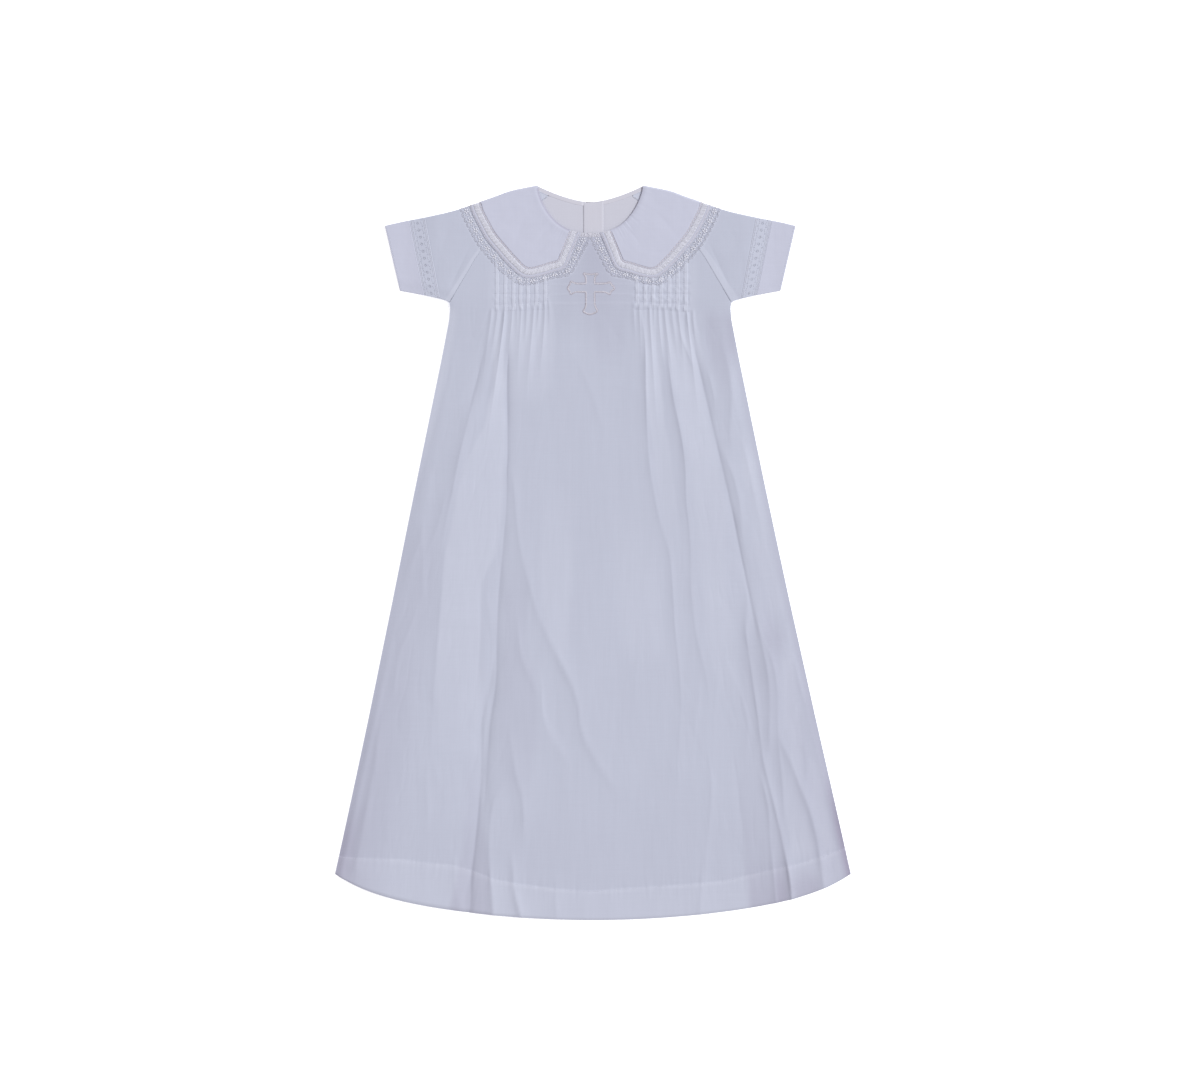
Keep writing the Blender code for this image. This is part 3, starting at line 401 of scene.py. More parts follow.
def even(line, step=None, count=None):
    line = np.asarray(line, float)
    at = lengths(line[:, : min(3, line.shape[1])] if line.shape[1] != 3 else line)
    if line.shape[1] == 3 and step is not None and count is None:
        at = lengths(line[:, :2]) if np.ptp(line[:, 2]) < 1e9 else at
    count = count or max(2, int(round(at[-1] / step)) + 1)
    s = np.linspace(0, at[-1], count)
    return np.stack([np.interp(s, at, line[:, k]) for k in range(line.shape[1])], axis=1)


def read_line(line, share):
    """Places at shares of a line's length."""
    at = lengths(line)
    s = np.asarray(share) * at[-1]
    return np.stack([np.interp(s, at, line[:, k]) for k in range(line.shape[1])], axis=-1)


def perlin(x, y, seed=0):
    """Smooth noise from -1 to 1."""
    xi, yi = np.floor(x).astype(np.int64), np.floor(y).astype(np.int64)
    fx, fy = x - xi, y - yi

    def corner(ix, iy, dx, dy):
        h = (ix * 374761393 + iy * 668265263 + seed * 974634221) & 0xFFFFFFFF
        h = ((h ^ (h >> 13)) * 1274126177) & 0xFFFFFFFF
        a = ((h ^ (h >> 16)) & 0xFFFFFF) / 0xFFFFFF * 2 * math.pi
        return np.cos(a) * dx + np.sin(a) * dy

    u, v = fx * fx * fx * (fx * (fx * 6 - 15) + 10), fy * fy * fy * (fy * (fy * 6 - 15) + 10)
    top = lerp(corner(xi, yi, fx, fy), corner(xi + 1, yi, fx - 1, fy), u)
    low = lerp(corner(xi, yi + 1, fx, fy - 1), corner(xi + 1, yi + 1, fx - 1, fy - 1), u)
    return lerp(top, low, v) * 1.5


def beside(line, x, y):
    """Signed distance to a line (positive to the right of it as it runs hem-ward), its third column there, and the
    distance past its ends."""
    best = np.full(x.shape, 1e9)
    sign = np.ones(x.shape)
    depth = np.zeros(x.shape)
    for p, q in zip(line, line[1:]):
        d = q[:2] - p[:2]
        s = np.clip(((x - p[0]) * d[0] + (y - p[1]) * d[1]) / (d @ d), 0, 1)
        px, py = x - p[0] - s * d[0], y - p[1] - s * d[1]
        away = px * px + py * py
        near = away < best
        best = np.where(near, away, best)
        side = d[0] * py - d[1] * px
        sign = np.where(near, np.sign(side), sign)
        depth = np.where(near, p[2] + (q[2] - p[2]) * s, depth)
    return np.sqrt(best) * sign, depth


# ---------------------------------------------------------------- outline
SIDE_Y, SIDE_W = (np.array(k) for k in zip(*SIDE))


def side_half(y):
    return np.interp(y, SIDE_Y, SIDE_W)


def side_middle(y):
    return YOKE_X * ramp(HEM_SIDE_Y, 100.0, y)


def hem_share(t):
    return 1 - 0.7 * t**2 - 0.3 * np.abs(t) ** 8


def neck_front_y(x):
    t = np.minimum(1.0, np.abs(x) / SHOULDER[0])
    return SHOULDER[1] - NECK_FRONT * (1 - t**2.5) ** 0.68


def neck_back_y(x):
    t = np.minimum(1.0, np.abs(x) / SHOULDER[0])
    return SHOULDER[1] - NECK_BACK * (1 - t**1.6)


def neck(angle, back=False):
    x = SHOULDER[0] * np.sin(np.radians(angle))
    return np.stack([x, neck_back_y(x) if back else neck_front_y(x)], axis=-1)


FOLD_DIR = unit(np.subtract(TOP_FOLD[1], TOP_FOLD[0]))
FOLD_OUT = np.array([-FOLD_DIR[1], FOLD_DIR[0]])


def neck_off(angle, off, back=False):
    angle = np.asarray(angle, float)
    a, b = neck(np.maximum(0, angle - 2), back), neck(np.minimum(90, angle + 2), back)
    t = unit(b - a)
    square = np.stack([t[..., 1], -t[..., 0]], axis=-1)
    w = ramp(68, 90, angle)[..., None]
    away = unit(lerp(square, np.broadcast_to(FOLD_DIR, square.shape), w))
    return neck(angle, back) + away * np.asarray(off)[..., None]


RAGLAN = {}
for back, points, last in ((False, RAGLAN_FRONT, NECK_END_FRONT), (True, RAGLAN_BACK, NECK_END_BACK)):
    RAGLAN[back] = curve(points + [tuple(neck_off(last, BINDING - 0.5, back))], 1.5)


def panel_top(back):
    """The panel's upper edge, y for each x' from the centre to the underarm."""
    end = NECK_END_BACK if back else NECK_END_FRONT
    line = [neck_off(a, BINDING - 0.5, back) for a in np.linspace(0, end, 40)]
    rag = RAGLAN[back][::-1]
    xy = np.vstack([np.array(line), rag[1:]])
    return xy[:, 0], xy[:, 1]


PANEL_TOP = {back: panel_top(back) for back in (False, True)}
TOP_FOLD_LINE = curve(TOP_FOLD, 1.5)


def fold_y(x):
    return np.interp(x, TOP_FOLD_LINE[:, 0], TOP_FOLD_LINE[:, 1])


# ---------------------------------------------------------------- heights of the two layers (middle of the cloth)
def yoke(x, y):
    return (1 - ramp(144, 178, np.abs(x - YOKE_X))) * ramp(198, 248, y)


def edge_gap(x, y):
    """Distance from the side seam, in the skirt."""
    return side_half(np.minimum(y, 238)) - np.abs(x - side_middle(y))


def back_base(x, y):
    return 0.22 + 1.72 * yoke(x, y)


def front_base(x, y):
    over_placket = (1 - ramp(16, 32, np.abs(x - YOKE_X))) * ramp(205, 232, y)
    return back_base(x, y) + 1.2 + 0.45 * over_placket


FOLD_LINES = [(row, curve(row[4], 7.0)) for row in FOLDS]


def creases(x, y, lines):
    """Ridges and valleys: each falls away at its own pace to the left and to the right of its line."""
    z = np.zeros(x.shape)
    for (name, left, right, soft, _), line in lines:
        reach = 3.4 * max(left, right)
        lo, hi = line[:, :2].min(0) - reach, line[:, :2].max(0) + reach
        near = (x > lo[0]) & (x < hi[0]) & (y > lo[1]) & (y < hi[1])
        if not near.any():
            continue
        s, high = beside(line, x[near], y[near])
        # a fold wanders a little in width and height
        seed = len(name)
        wide = 1 + 0.2 * perlin(y[near] / 37.0, x[near] / 90.0, seed)
        uneven = 1 + 0.35 * perlin(y[near] / 26.0, x[near] / 120.0, seed + 3)
        blunt = 0.75 * soft * (1 + 0.5 * perlin(y[near] / 45.0, x[near] / 120.0, seed + 9))
        w = lerp(left, right, ramp(-blunt, blunt, s)) * wide
        edge = np.exp(-(np.sqrt(s * s + 0.12) - 0.346) / (0.26 * w))
        z[near] += high * uneven * (0.88 * np.exp(-(np.sqrt(s * s + blunt * blunt) - blunt) / w) + 0.2 * edge)
    return z


def light_shade_bands(x, y):
    """How much painted light (above 0) and painted shade (below 0) the bands give at each place; the light partly
    stands for a second layer showing through.
    """
    total = np.zeros(x.shape)
    for left, right, shares, soft in LIGHT_SHADE_BANDS:
        at = np.interp(y, *zip(*sorted((b, c) for b, c in shares)))
        low, high = (np.interp(y, *zip(*sorted((b, a) for a, b in line))) for line in (left, right))
        waver = 1.2 * perlin(y / 21.0, x / 200.0, len(left) + len(shares))
        total += at * ramp(low - soft, low + soft, x + waver) * (1 - ramp(high - soft, high + soft, x + waver))
    return total


def chest(x, y):
    """The place across the panel, as x' at the underarm's level: straight up the yoke, fanning out down the skirt."""
    skirt = (x - side_middle(y)) / side_half(y) * UNDERARM[0]
    return np.where(y >= 238, x - YOKE_X, skirt)


def tuck_profile(s):
    """One pin tuck across: s runs from its stitched line towards its folded edge."""
    up = ramp(-0.15, 0.6, s)
    down = 1 - ramp(TUCK_WIDE - 0.3, TUCK_WIDE + 0.35, s)
    return up * down * (0.22 + 0.03 * s) - 0.05 * bell(s + 0.1, 0.5) - 0.04 * bell(s - TUCK_WIDE - 0.5, 0.6)


def tucks(x, y):
    """Height of the tucks, and how many layers lie there."""
    c = chest(x, y)
    z = np.zeros(x.shape)
    layers = np.zeros(x.shape)
    cross = np.zeros(x.shape)
    puff = np.zeros(x.shape)
    for side in (-1, 1):
        a = c * side
        first, last = TUCKS[side][0], TUCKS[side][-1] + TUCK_WIDE
        inside = ramp(first - 4, first + 1, a) * (1 - ramp(last, last + 4, a))
        low_y = np.interp(a, TUCKS[side], TUCK_LOW[side])
        for k, (place, low) in enumerate(zip(TUCKS[side], TUCK_LOW[side])):
            s = a - place
            on = (s > -2) & (s < TUCK_WIDE + 2)
            length = ramp(low - 2.5, low + 1.5, y) * (1 - ramp(298, 308, y))
            waver = 0.22 * perlin(y / 9.0, np.full_like(y, k * 3.1), 5 + side)
            z += np.where(on, tuck_profile(s + waver) * length, 0)
            layers += np.where(on, ramp(0, 0.3, s + waver) * (1 - ramp(TUCK_WIDE - 0.2, TUCK_WIDE + 0.2, s + waver)) * length, 0)
        for row, (y0, left, mid, right) in enumerate(CROSS_ROWS):
            strong = left if side < 0 else right
            bend = 0.55 * perlin(a / 13.0, np.full_like(a, row * 5.3), 31 + side) + (low_y - 234.5) * 0.35 * (row > 2)
            d = y - y0 - bend
            line = bell(d, 0.75)
            cross += inside * strong * line
            # the cloth puffs up a little between the rows
            puff += inside * strong * 0.5 * (bell(d - 4.4, 2.6) + bell(d + 4.4, 2.6)) * ramp(-1.0, 4.0, y - low_y + 5)
    centre = 1 - ramp(34, 44, np.abs(c))
    for row, (y0, left, mid, right) in enumerate(CROSS_ROWS):
        bend = 0.5 * perlin(c / 17.0, np.full_like(c, row * 2.7), 77)
        d = y - y0 - bend
        # plain fine tucks behind the cross, pressed down
        z += centre * mid * (0.26 * ramp(-1.7, -1.3, d) * (1 - ramp(-0.15, 0.1, d)) - 0.1 * bell(d - 0.25, 0.35))
        layers += 0.5 * centre * mid * bell(d + 0.8, 0.8)
    z += (puff * (0.2 + 0.4 * perlin(c / 3.4, y / 4.0, 11)) - 0.3 * np.minimum(cross, 1)) * np.where(c > 0, 1.5, 1.0)
    return z, layers, cross


def gathers(x, y):
    """The fullness let out under the tucks, fading hem-ward."""
    c = chest(x, y)
    z = np.zeros(x.shape)
    for side in (-1, 1):
        a = c * side
        for k, (place, long, high, foot) in enumerate(GATHERS[side]):
            low = np.interp(place, TUCKS[side], TUCK_LOW[side])
            down = np.clip((low + 3 - y) / long, 0, 1.6)
            wander = 0.9 * np.sin(down * 2.2 + k) * side
            w = lerp(0.95, 0.36 * foot, np.clip(down, 0, 1))
            rise = ramp(0, 0.06, down) * (1 - ramp(0.3, 1.35, down)) ** 1.2
            q = a - place - wander
            ridge = np.exp(-(np.sqrt(q * q + 0.06) - 0.245) / w) - 0.3 * bell(np.abs(q) - 2.6 * w, 1.3 * w)
            z += 0.62 * high * rise * ridge
    return z


def hem_line(x):
    return np.interp(x, *zip(*HEM_STITCH))


def front_height(x, y, detail=True):
    """Middle of the front's cloth."""
    z = front_base(x, y)
    rim = edge_gap(x, y)
    skirt = 1 - ramp(226, 242, y)
    # the body of the skirt stands a little off the back, and comes down to it at the side seams
    swell = 1.55 * ramp(0, 46, rim) * (1 - ramp(150, 236, y)) * lerp(0.6, 1.0, ramp(-350, -250, y))
    folds = creases(x, y, FOLD_LINES) * ramp(-2, 16, rim)
    under = 1 - ramp(-220, 20, y)
    low = -0.68 * (1 - ramp(0.0, lerp(13.0, 7.0, under), rim)) * skirt
    side_roll = 0.5 * bell(rim - 5.5, 3.6) * np.where(x < 0, lerp(0.1, 1.0, under), 0.15)
    z = z + swell + low + side_roll
    z = z + np.maximum(folds, -(swell + 0.75))
    if detail:
        t, _, _ = tucks(x, y)
        z = z + t + gathers(x, y)
        band = 1 - ramp(-0.5, 0.5, y - hem_line(x))
        z = z + 0.12 * band - 0.1 * bell(y - hem_line(x), 0.8)
        # small puckers hang from the hem's stitches
        pucker = perlin(x / 3.1, y / 22.0, 3) * bell(y - hem_line(x) + 2, 9)
        z = z + 0.17 * pucker
    # slow unevenness of washed and pressed cloth
    soft = 0.16 * perlin(x / 34.0, y / 120.0, 1) + 0.10 * perlin(x / 15.0, y / 60.0, 2) + 0.05 * perlin(x / 6.5, y / 34.0, 4)
    # fine creases, long and thin, more of them towards the sides
    fine = 0.3 + 0.7 * ramp(50, 130, np.abs(x))
    for wide, tall, seed, deep in ((21.0, 70.0, 41, 0.18), (13.0, 38.0, 43, 0.11), (30.0, 24.0, 47, 0.07)):
        n = perlin((x + 0.25 * y * np.sign(x)) / wide, y / tall, seed)
        soft = soft - deep * fine * np.exp(-np.abs(n) / 0.075) * ramp(-0.15, 0.25, perlin(x / 41.0, y / 55.0, seed + 1))
    z = z + soft * skirt * ramp(0, 14, rim)
    z = z + 0.05 * perlin(x / 16.0, y / 13.0, 9) * (1 - skirt)
    return z


BACK_FOLDS = [
    ("back left", 7, 10, 1.6, [(-40, 190, 0), (-52, 120, -.4), (-70, 20, -.5), (-92, -120, -.4), (-104, -240, -.5), (-108, -345, -.6)]),
    ("back right", 10, 7, 1.6, [(38, 196, 0), (50, 110, -.4), (72, -10, -.5), (88, -130, -.4), (110, -250, -.5), (118, -345, -.6)]),
    ("back outer left", 5, 12, 1.2, [(-92, 180, 0), (-118, 80, -.35), (-146, -40, -.4), (-168, -160, -.4), (-180, -280, -.35), (-184, -330, -.3)]),
    ("back outer right", 12, 5, 1.2, [(96, 170, 0), (126, 60, -.35), (150, -60, -.4), (170, -180, -.4), (186, -300, -.35), (190, -340, -.3)]),
    ("back middle", 9, 9, 2.0, [(2, 236, 0), (0, 160, -.35), (-6, 40, -.35), (4, -90, -.35), (0, -220, -.3), (2, -345, -.35)]),
    ("back short", 4, 9, 1.0, [(-20, 60, 0), (-30, 10, -.3), (-28, -50, -.35), (-36, -100, 0)]),
    ("back slant", 9, 4, 1.0, [(20, -60, 0), (34, -110, -.3), (56, -150, -.35), (64, -200, 0)]),
]
BACK_LINES = [(row, curve(row[4], 7.0)) for row in BACK_FOLDS]


def back_height(x, y, detail=True):
    """Middle of the back's cloth: flat where it lies, with shallow creases pressed up from below."""
    z = back_base(x, y)
    rim = edge_gap(x, y)
    skirt = 1 - ramp(226, 242, y)
    z = z + 0.16 * (1 - ramp(0, 6, rim)) * skirt
    if detail:
        up = np.maximum(-creases(x, y, BACK_LINES), 0) * ramp(0, 20, rim) * skirt
        z = z + 0.55 * up
    return z


# ---------------------------------------------------------------- meshes
HOME = bpy.data.collections.new("christening_gown_look")
bpy.context.scene.collection.children.link(HOME)


def add_mesh(name, verts, faces, smooth=True, attributes=None):
    """verts in millimetres, without LIE_Y."""
    co = np.array(verts, float).reshape(-1, 3).copy()
    co[:, 1] += LIE_Y
    co[:, 2] = np.maximum(co[:, 2], 0.03)  # nothing goes below the surface it lies on
    mesh = bpy.data.meshes.new(name)
    mesh.from_pydata((co * MM).tolist(), [], faces)
    for key, values in (attributes or {}).items():
        layer = mesh.attributes.new(key, "FLOAT", "POINT")
        layer.data.foreach_set("value", np.asarray(values, np.float32))
    if smooth:
        mesh.shade_smooth()
    mesh.update()
    obj = bpy.data.objects.new(name, mesh)
    HOME.objects.link(obj)
    return obj


def wall(obj, thick):
    made = obj.modifiers.new("wall", "SOLIDIFY")
    made.thickness = thick * MM
    made.offset = 0.0
    made.use_even_offset = False
    return obj


def grid_faces(columns, rows, flip=False, start=0):
    """Quads of a grid stored column by column, each of rows + 1 points."""
    i, j = np.meshgrid(np.arange(columns), np.arange(rows), indexing="ij")
    a = (i * (rows + 1) + j + start).ravel()
    b = a + rows + 1
    quads = np.stack([a, b, b + 1, a + 1], axis=1)
    return (quads[:, ::-1] if flip else quads).tolist()


def zip_columns(columns, flip=False):
    """Faces between neighbouring columns of vertex numbers that share their lower end."""
    faces = []
    for a, b in zip(columns, columns[1:]):
        n = min(len(a), len(b))
        for k in range(n - 1):
            faces.append((a[k], b[k], b[k + 1], a[k + 1]))
        for k in range(n - 1, len(a) - 1):
            faces.append((a[k], b[-1], a[k + 1]))
        for k in range(n - 1, len(b) - 1):
            faces.append((a[-1], b[k], b[k + 1]))
    if flip:
        faces = [f[::-1] for f in faces]
    return faces


def tubes(name, paths, radius, sides=3, flat=1.0, smooth=True, ups=None):
    """Threads: closed tubes along paths (arrays of points in mm); radius in mm, one number or one for each path.
    ups gives the way up of the cloth below each point."""
    verts, faces, start = [], [], 0
    radius = np.broadcast_to(np.asarray(radius, float), (len(paths),))
    groups = {}
    for k, (path, r) in enumerate(zip(paths, radius)):
        groups.setdefault(len(path), []).append((path, r, None if ups is None else ups[k]))
    turn = np.arange(sides) / sides * 2 * math.pi + math.pi / 2
    for n, group in groups.items():
        p = np.array([g[0] for g in group], float)
        r = np.array([g[1] for g in group], float)[:, None, None, None]
        t = unit(np.gradient(p, axis=1))
        up = np.zeros_like(p)
        up[..., 2] = 1.0
        if ups is not None:
            up = np.array([g[2] for g in group], float)
        steep = np.abs((t * up).sum(-1)) > 0.97
        up[steep] = (0.3, 1, 0)
        across = unit(np.cross(t, up))
        up = np.cross(across, t)
        ring = p[:, :, None, :] + r * (np.cos(turn)[:, None] * across[:, :, None, :] + flat * np.sin(turn)[:, None] * up[:, :, None, :])
        m = len(group)
        verts.append(ring.reshape(-1, 3))
        base = start + np.arange(m)[:, None, None] * (n * sides)
        j, k = np.meshgrid(np.arange(n - 1), np.arange(sides), indexing="ij")
        a = base + (j * sides + k)
        b = base + (j * sides + (k + 1) % sides)
        quads = np.stack([a, b, b + sides, a + sides], axis=-1).reshape(-1, 4)
        faces += quads.tolist()
        ends = (base[:, :, 0] + np.arange(sides)[None, :])
        faces += ends[:, ::-1].tolist()
        faces += (ends + (n - 1) * sides).tolist()
        start += m * n * sides
    return add_mesh(name, np.vstack(verts), faces, smooth)


# ---------------------------------------------------------------- materials
def nodes_of(name):
    made = bpy.data.materials.new(name)
    made.use_nodes = True
    tree = made.node_tree
    return made, tree, tree.nodes["Principled BSDF"]


def link(tree, a, b):
    tree.links.new(a, b)


def math_node(tree, kind, a, b=None, clamp=False):
    node = tree.nodes.new("ShaderNodeMath")
    node.operation = kind
    node.use_clamp = clamp
    for k, value in enumerate((a, b)):
        if value is None:
            continue
        if isinstance(value, (int, float)):
            node.inputs[k].default_value = value
        else:
            link(tree, value, node.inputs[k])
    return node.outputs[0]


def mix_colour(tree, share, a, b, kind="MIX"):
    node = tree.nodes.new("ShaderNodeMix")
    node.data_type = "RGBA"
    node.blend_type = kind
    if isinstance(share, (int, float)):
        node.inputs[0].default_value = share
    else:
        link(tree, share, node.inputs[0])
    for socket, value in ((node.inputs[6], a), (node.inputs[7], b)):
        if isinstance(value, tuple):
            socket.default_value = (*value, 1.0)
        else:
            link(tree, value, socket)
    return node.outputs[2]


def noise_of(tree, where, scale, size=(1, 1, 1), detail=2.0, rough=0.5):
    mapping = tree.nodes.new("ShaderNodeMapping")
    mapping.inputs["Scale"].default_value = size
    link(tree, where, mapping.inputs["Vector"])
    node = tree.nodes.new("ShaderNodeTexNoise")
    node.inputs["Scale"].default_value = scale
    node.inputs["Detail"].default_value = detail
    node.inputs["Roughness"].default_value = rough
    link(tree, mapping.outputs[0], node.inputs["Vector"])
    return node.outputs["Fac"]


def wave_of(tree, where, per_metre, direction):
    """Even ribs, per_metre of them in a metre."""
    node = tree.nodes.new("ShaderNodeTexWave")
    node.wave_type = "BANDS"
    node.bands_direction = direction
    node.inputs["Scale"].default_value = per_metre / 20 * 2 * math.pi
    node.inputs["Distortion"].default_value = 0.6
    node.inputs["Detail"].default_value = 1.0
    node.inputs["Detail Scale"].default_value = 0.3
    link(tree, where, node.inputs["Vector"])
    return node.outputs["Fac"]


def cloth_material(name, single, double, weave=2300, slub=1.0):
    """Fine plain weave. An attribute of the mesh lightens the cloth where layers lie on each other and where light is
    painted in; its shade attribute is painted shade, which greys the cloth a little towards purple in creases, at rims
    and towards the lower corners."""
    made, tree, shader = nodes_of(name)
    where = tree.nodes.new("ShaderNodeTexCoord").outputs["Object"]
    layers = tree.nodes.new("ShaderNodeAttribute")
    layers.attribute_name = "double"
    painted_shade = tree.nodes.new("ShaderNodeAttribute")
    painted_shade.attribute_name = "shade"
    colour = mix_colour(tree, math_node(tree, "MULTIPLY", layers.outputs["Fac"], 1.0, clamp=True), single, double)
    # yarns of uneven thickness, along both ways of the weave
    down = noise_of(tree, where, 900, (1.0, 0.03, 1.0), 3.0, 0.6)
    over = noise_of(tree, where, 900, (0.03, 1.0, 1.0), 3.0, 0.6)
    yarn = math_node(tree, "ADD", down, over)
    patch = noise_of(tree, where, 11, (1.0, 0.6, 1.0), 3.0, 0.55)
    tone = math_node(tree, "MULTIPLY_ADD", yarn, 0.05 * slub)
    tone.node.inputs[2].default_value = 1.0 - 0.05 * slub
    tone2 = math_node(tree, "MULTIPLY_ADD", patch, 0.05)
    tone2.node.inputs[2].default_value = 0.975
    tone = math_node(tree, "MULTIPLY", tone, tone2)
    # painted shade: the shade attribute greys the weave's tone, a little towards purple
    grey = tree.nodes.new("ShaderNodeCombineColor")
    for k, share in enumerate((0.92, 1.08, 0.93)):
        link(tree, math_node(tree, "SUBTRACT", tone, math_node(tree, "MULTIPLY", painted_shade.outputs["Fac"], share)), grey.inputs[k])
    link(tree, mix_colour(tree, 1.0, colour, grey.outputs[0], "MULTIPLY"), shader.inputs["Base Color"])
    shader.inputs["Roughness"].default_value = 0.86
    shader.inputs["Specular IOR Level"].default_value = 0.18
    shader.inputs["Sheen Weight"].default_value = 0.12
    shader.inputs["Sheen Roughness"].default_value = 0.45
    ribs = math_node(tree, "MULTIPLY", wave_of(tree, where, weave, "X"), wave_of(tree, where, weave, "Y"))
    relief = math_node(tree, "ADD", math_node(tree, "MULTIPLY", ribs, 0.35), math_node(tree, "MULTIPLY", yarn, 0.9))
    bump = tree.nodes.new("ShaderNodeBump")
    bump.inputs["Strength"].default_value = 0.5
    bump.inputs["Distance"].default_value = 0.00006
    link(tree, relief, bump.inputs["Height"])
    link(tree, bump.outputs[0], shader.inputs["Normal"])
    return made


def thread_material(name, colour, other, scale=1500, rough=0.6, sheen=0.25):
    """Twisted cotton thread."""
    made, tree, shader = nodes_of(name)
    where = tree.nodes.new("ShaderNodeTexCoord").outputs["Object"]
    fine = noise_of(tree, where, scale, (1, 1, 1), 2.0, 0.6)
    slow = noise_of(tree, where, 60, (1, 1, 1), 2.0, 0.5)
    share = math_node(tree, "MULTIPLY", math_node(tree, "ADD", fine, slow), 0.5)
    link(tree, mix_colour(tree, share, other, colour), shader.inputs["Base Color"])
    shader.inputs["Roughness"].default_value = rough
    shader.inputs["Specular IOR Level"].default_value = 0.25
    shader.inputs["Sheen Weight"].default_value = sheen
    bump = tree.nodes.new("ShaderNodeBump")
    bump.inputs["Strength"].default_value = 0.4
    bump.inputs["Distance"].default_value = 0.00005
    link(tree, fine, bump.inputs["Height"])
    link(tree, bump.outputs[0], shader.inputs["Normal"])
    return made


BATISTE = cloth_material("batiste_look", (0.50, 0.522, 0.628), (0.56, 0.582, 0.69))
BATISTE_DOUBLE = cloth_material("batiste_double_look", (0.52, 0.532, 0.645), (0.552, 0.565, 0.682))
INSIDE = cloth_material("batiste_inside_look", (0.50, 0.522, 0.628), (0.595, 0.588, 0.665))
LACE_THREAD = thread_material("lace_look", (0.735, 0.745, 0.84), (0.67, 0.67, 0.75), rough=0.8)
LADDER_THREAD = thread_material("ladder_look", (0.715, 0.725, 0.825), (0.69, 0.69, 0.775), rough=0.85)
ROSE_THREAD = thread_material("rose_thread_look", (0.70, 0.64, 0.67), (0.62, 0.565, 0.595))
SATIN_THREAD = thread_material("satin_look", (0.68, 0.655, 0.72), (0.60, 0.575, 0.64), rough=0.6, sheen=0.2)
MAUVE_THREAD = thread_material("mauve_look", (0.50, 0.455, 0.53), (0.44, 0.40, 0.46))
SEWING_THREAD = thread_material("sewing_look", (0.64, 0.655, 0.755), (0.57, 0.58, 0.675))


# ---------------------------------------------------------------- the two panels
def spread(points, gap):
    """Fills a rising list with even steps no wider than gap."""
    out = [points[0]]
    for a, b in zip(points, points[1:]):
        n = max(1, int(math.ceil((b - a) / gap - 1e-6)))
        out += [a + (b - a) * k / n for k in range(1, n + 1)]
    return out


def chest_columns(side):
    """x' of the front's columns on one side: close together where the tucks lie."""
    marks = [0.0, TUCKS[side][0] - 1.6]
    for place in TUCKS[side]:
        marks += [place - 0.35, place, place + 0.22, place + 0.5, place + 1.9, place + TUCK_WIDE - 0.3,
                  place + TUCK_WIDE, place + TUCK_WIDE + 0.25, place + TUCK_WIDE + 0.7]
    marks += [TUCKS[side][-1] + TUCK_WIDE + 4.0, UNDERARM[0] - 8, UNDERARM[0] - 4, UNDERARM[0] - 1.5, UNDERARM[0]]
    marks = sorted(set(round(m, 3) for m in marks + [112.0]))
    near = [m for m in marks if marks[1] <= m <= 112.0]
    return spread(marks[:2], 1.1)[:-1] + spread(near, 0.62)[:-1] + spread([m for m in marks if m >= 112.0], 1.0)


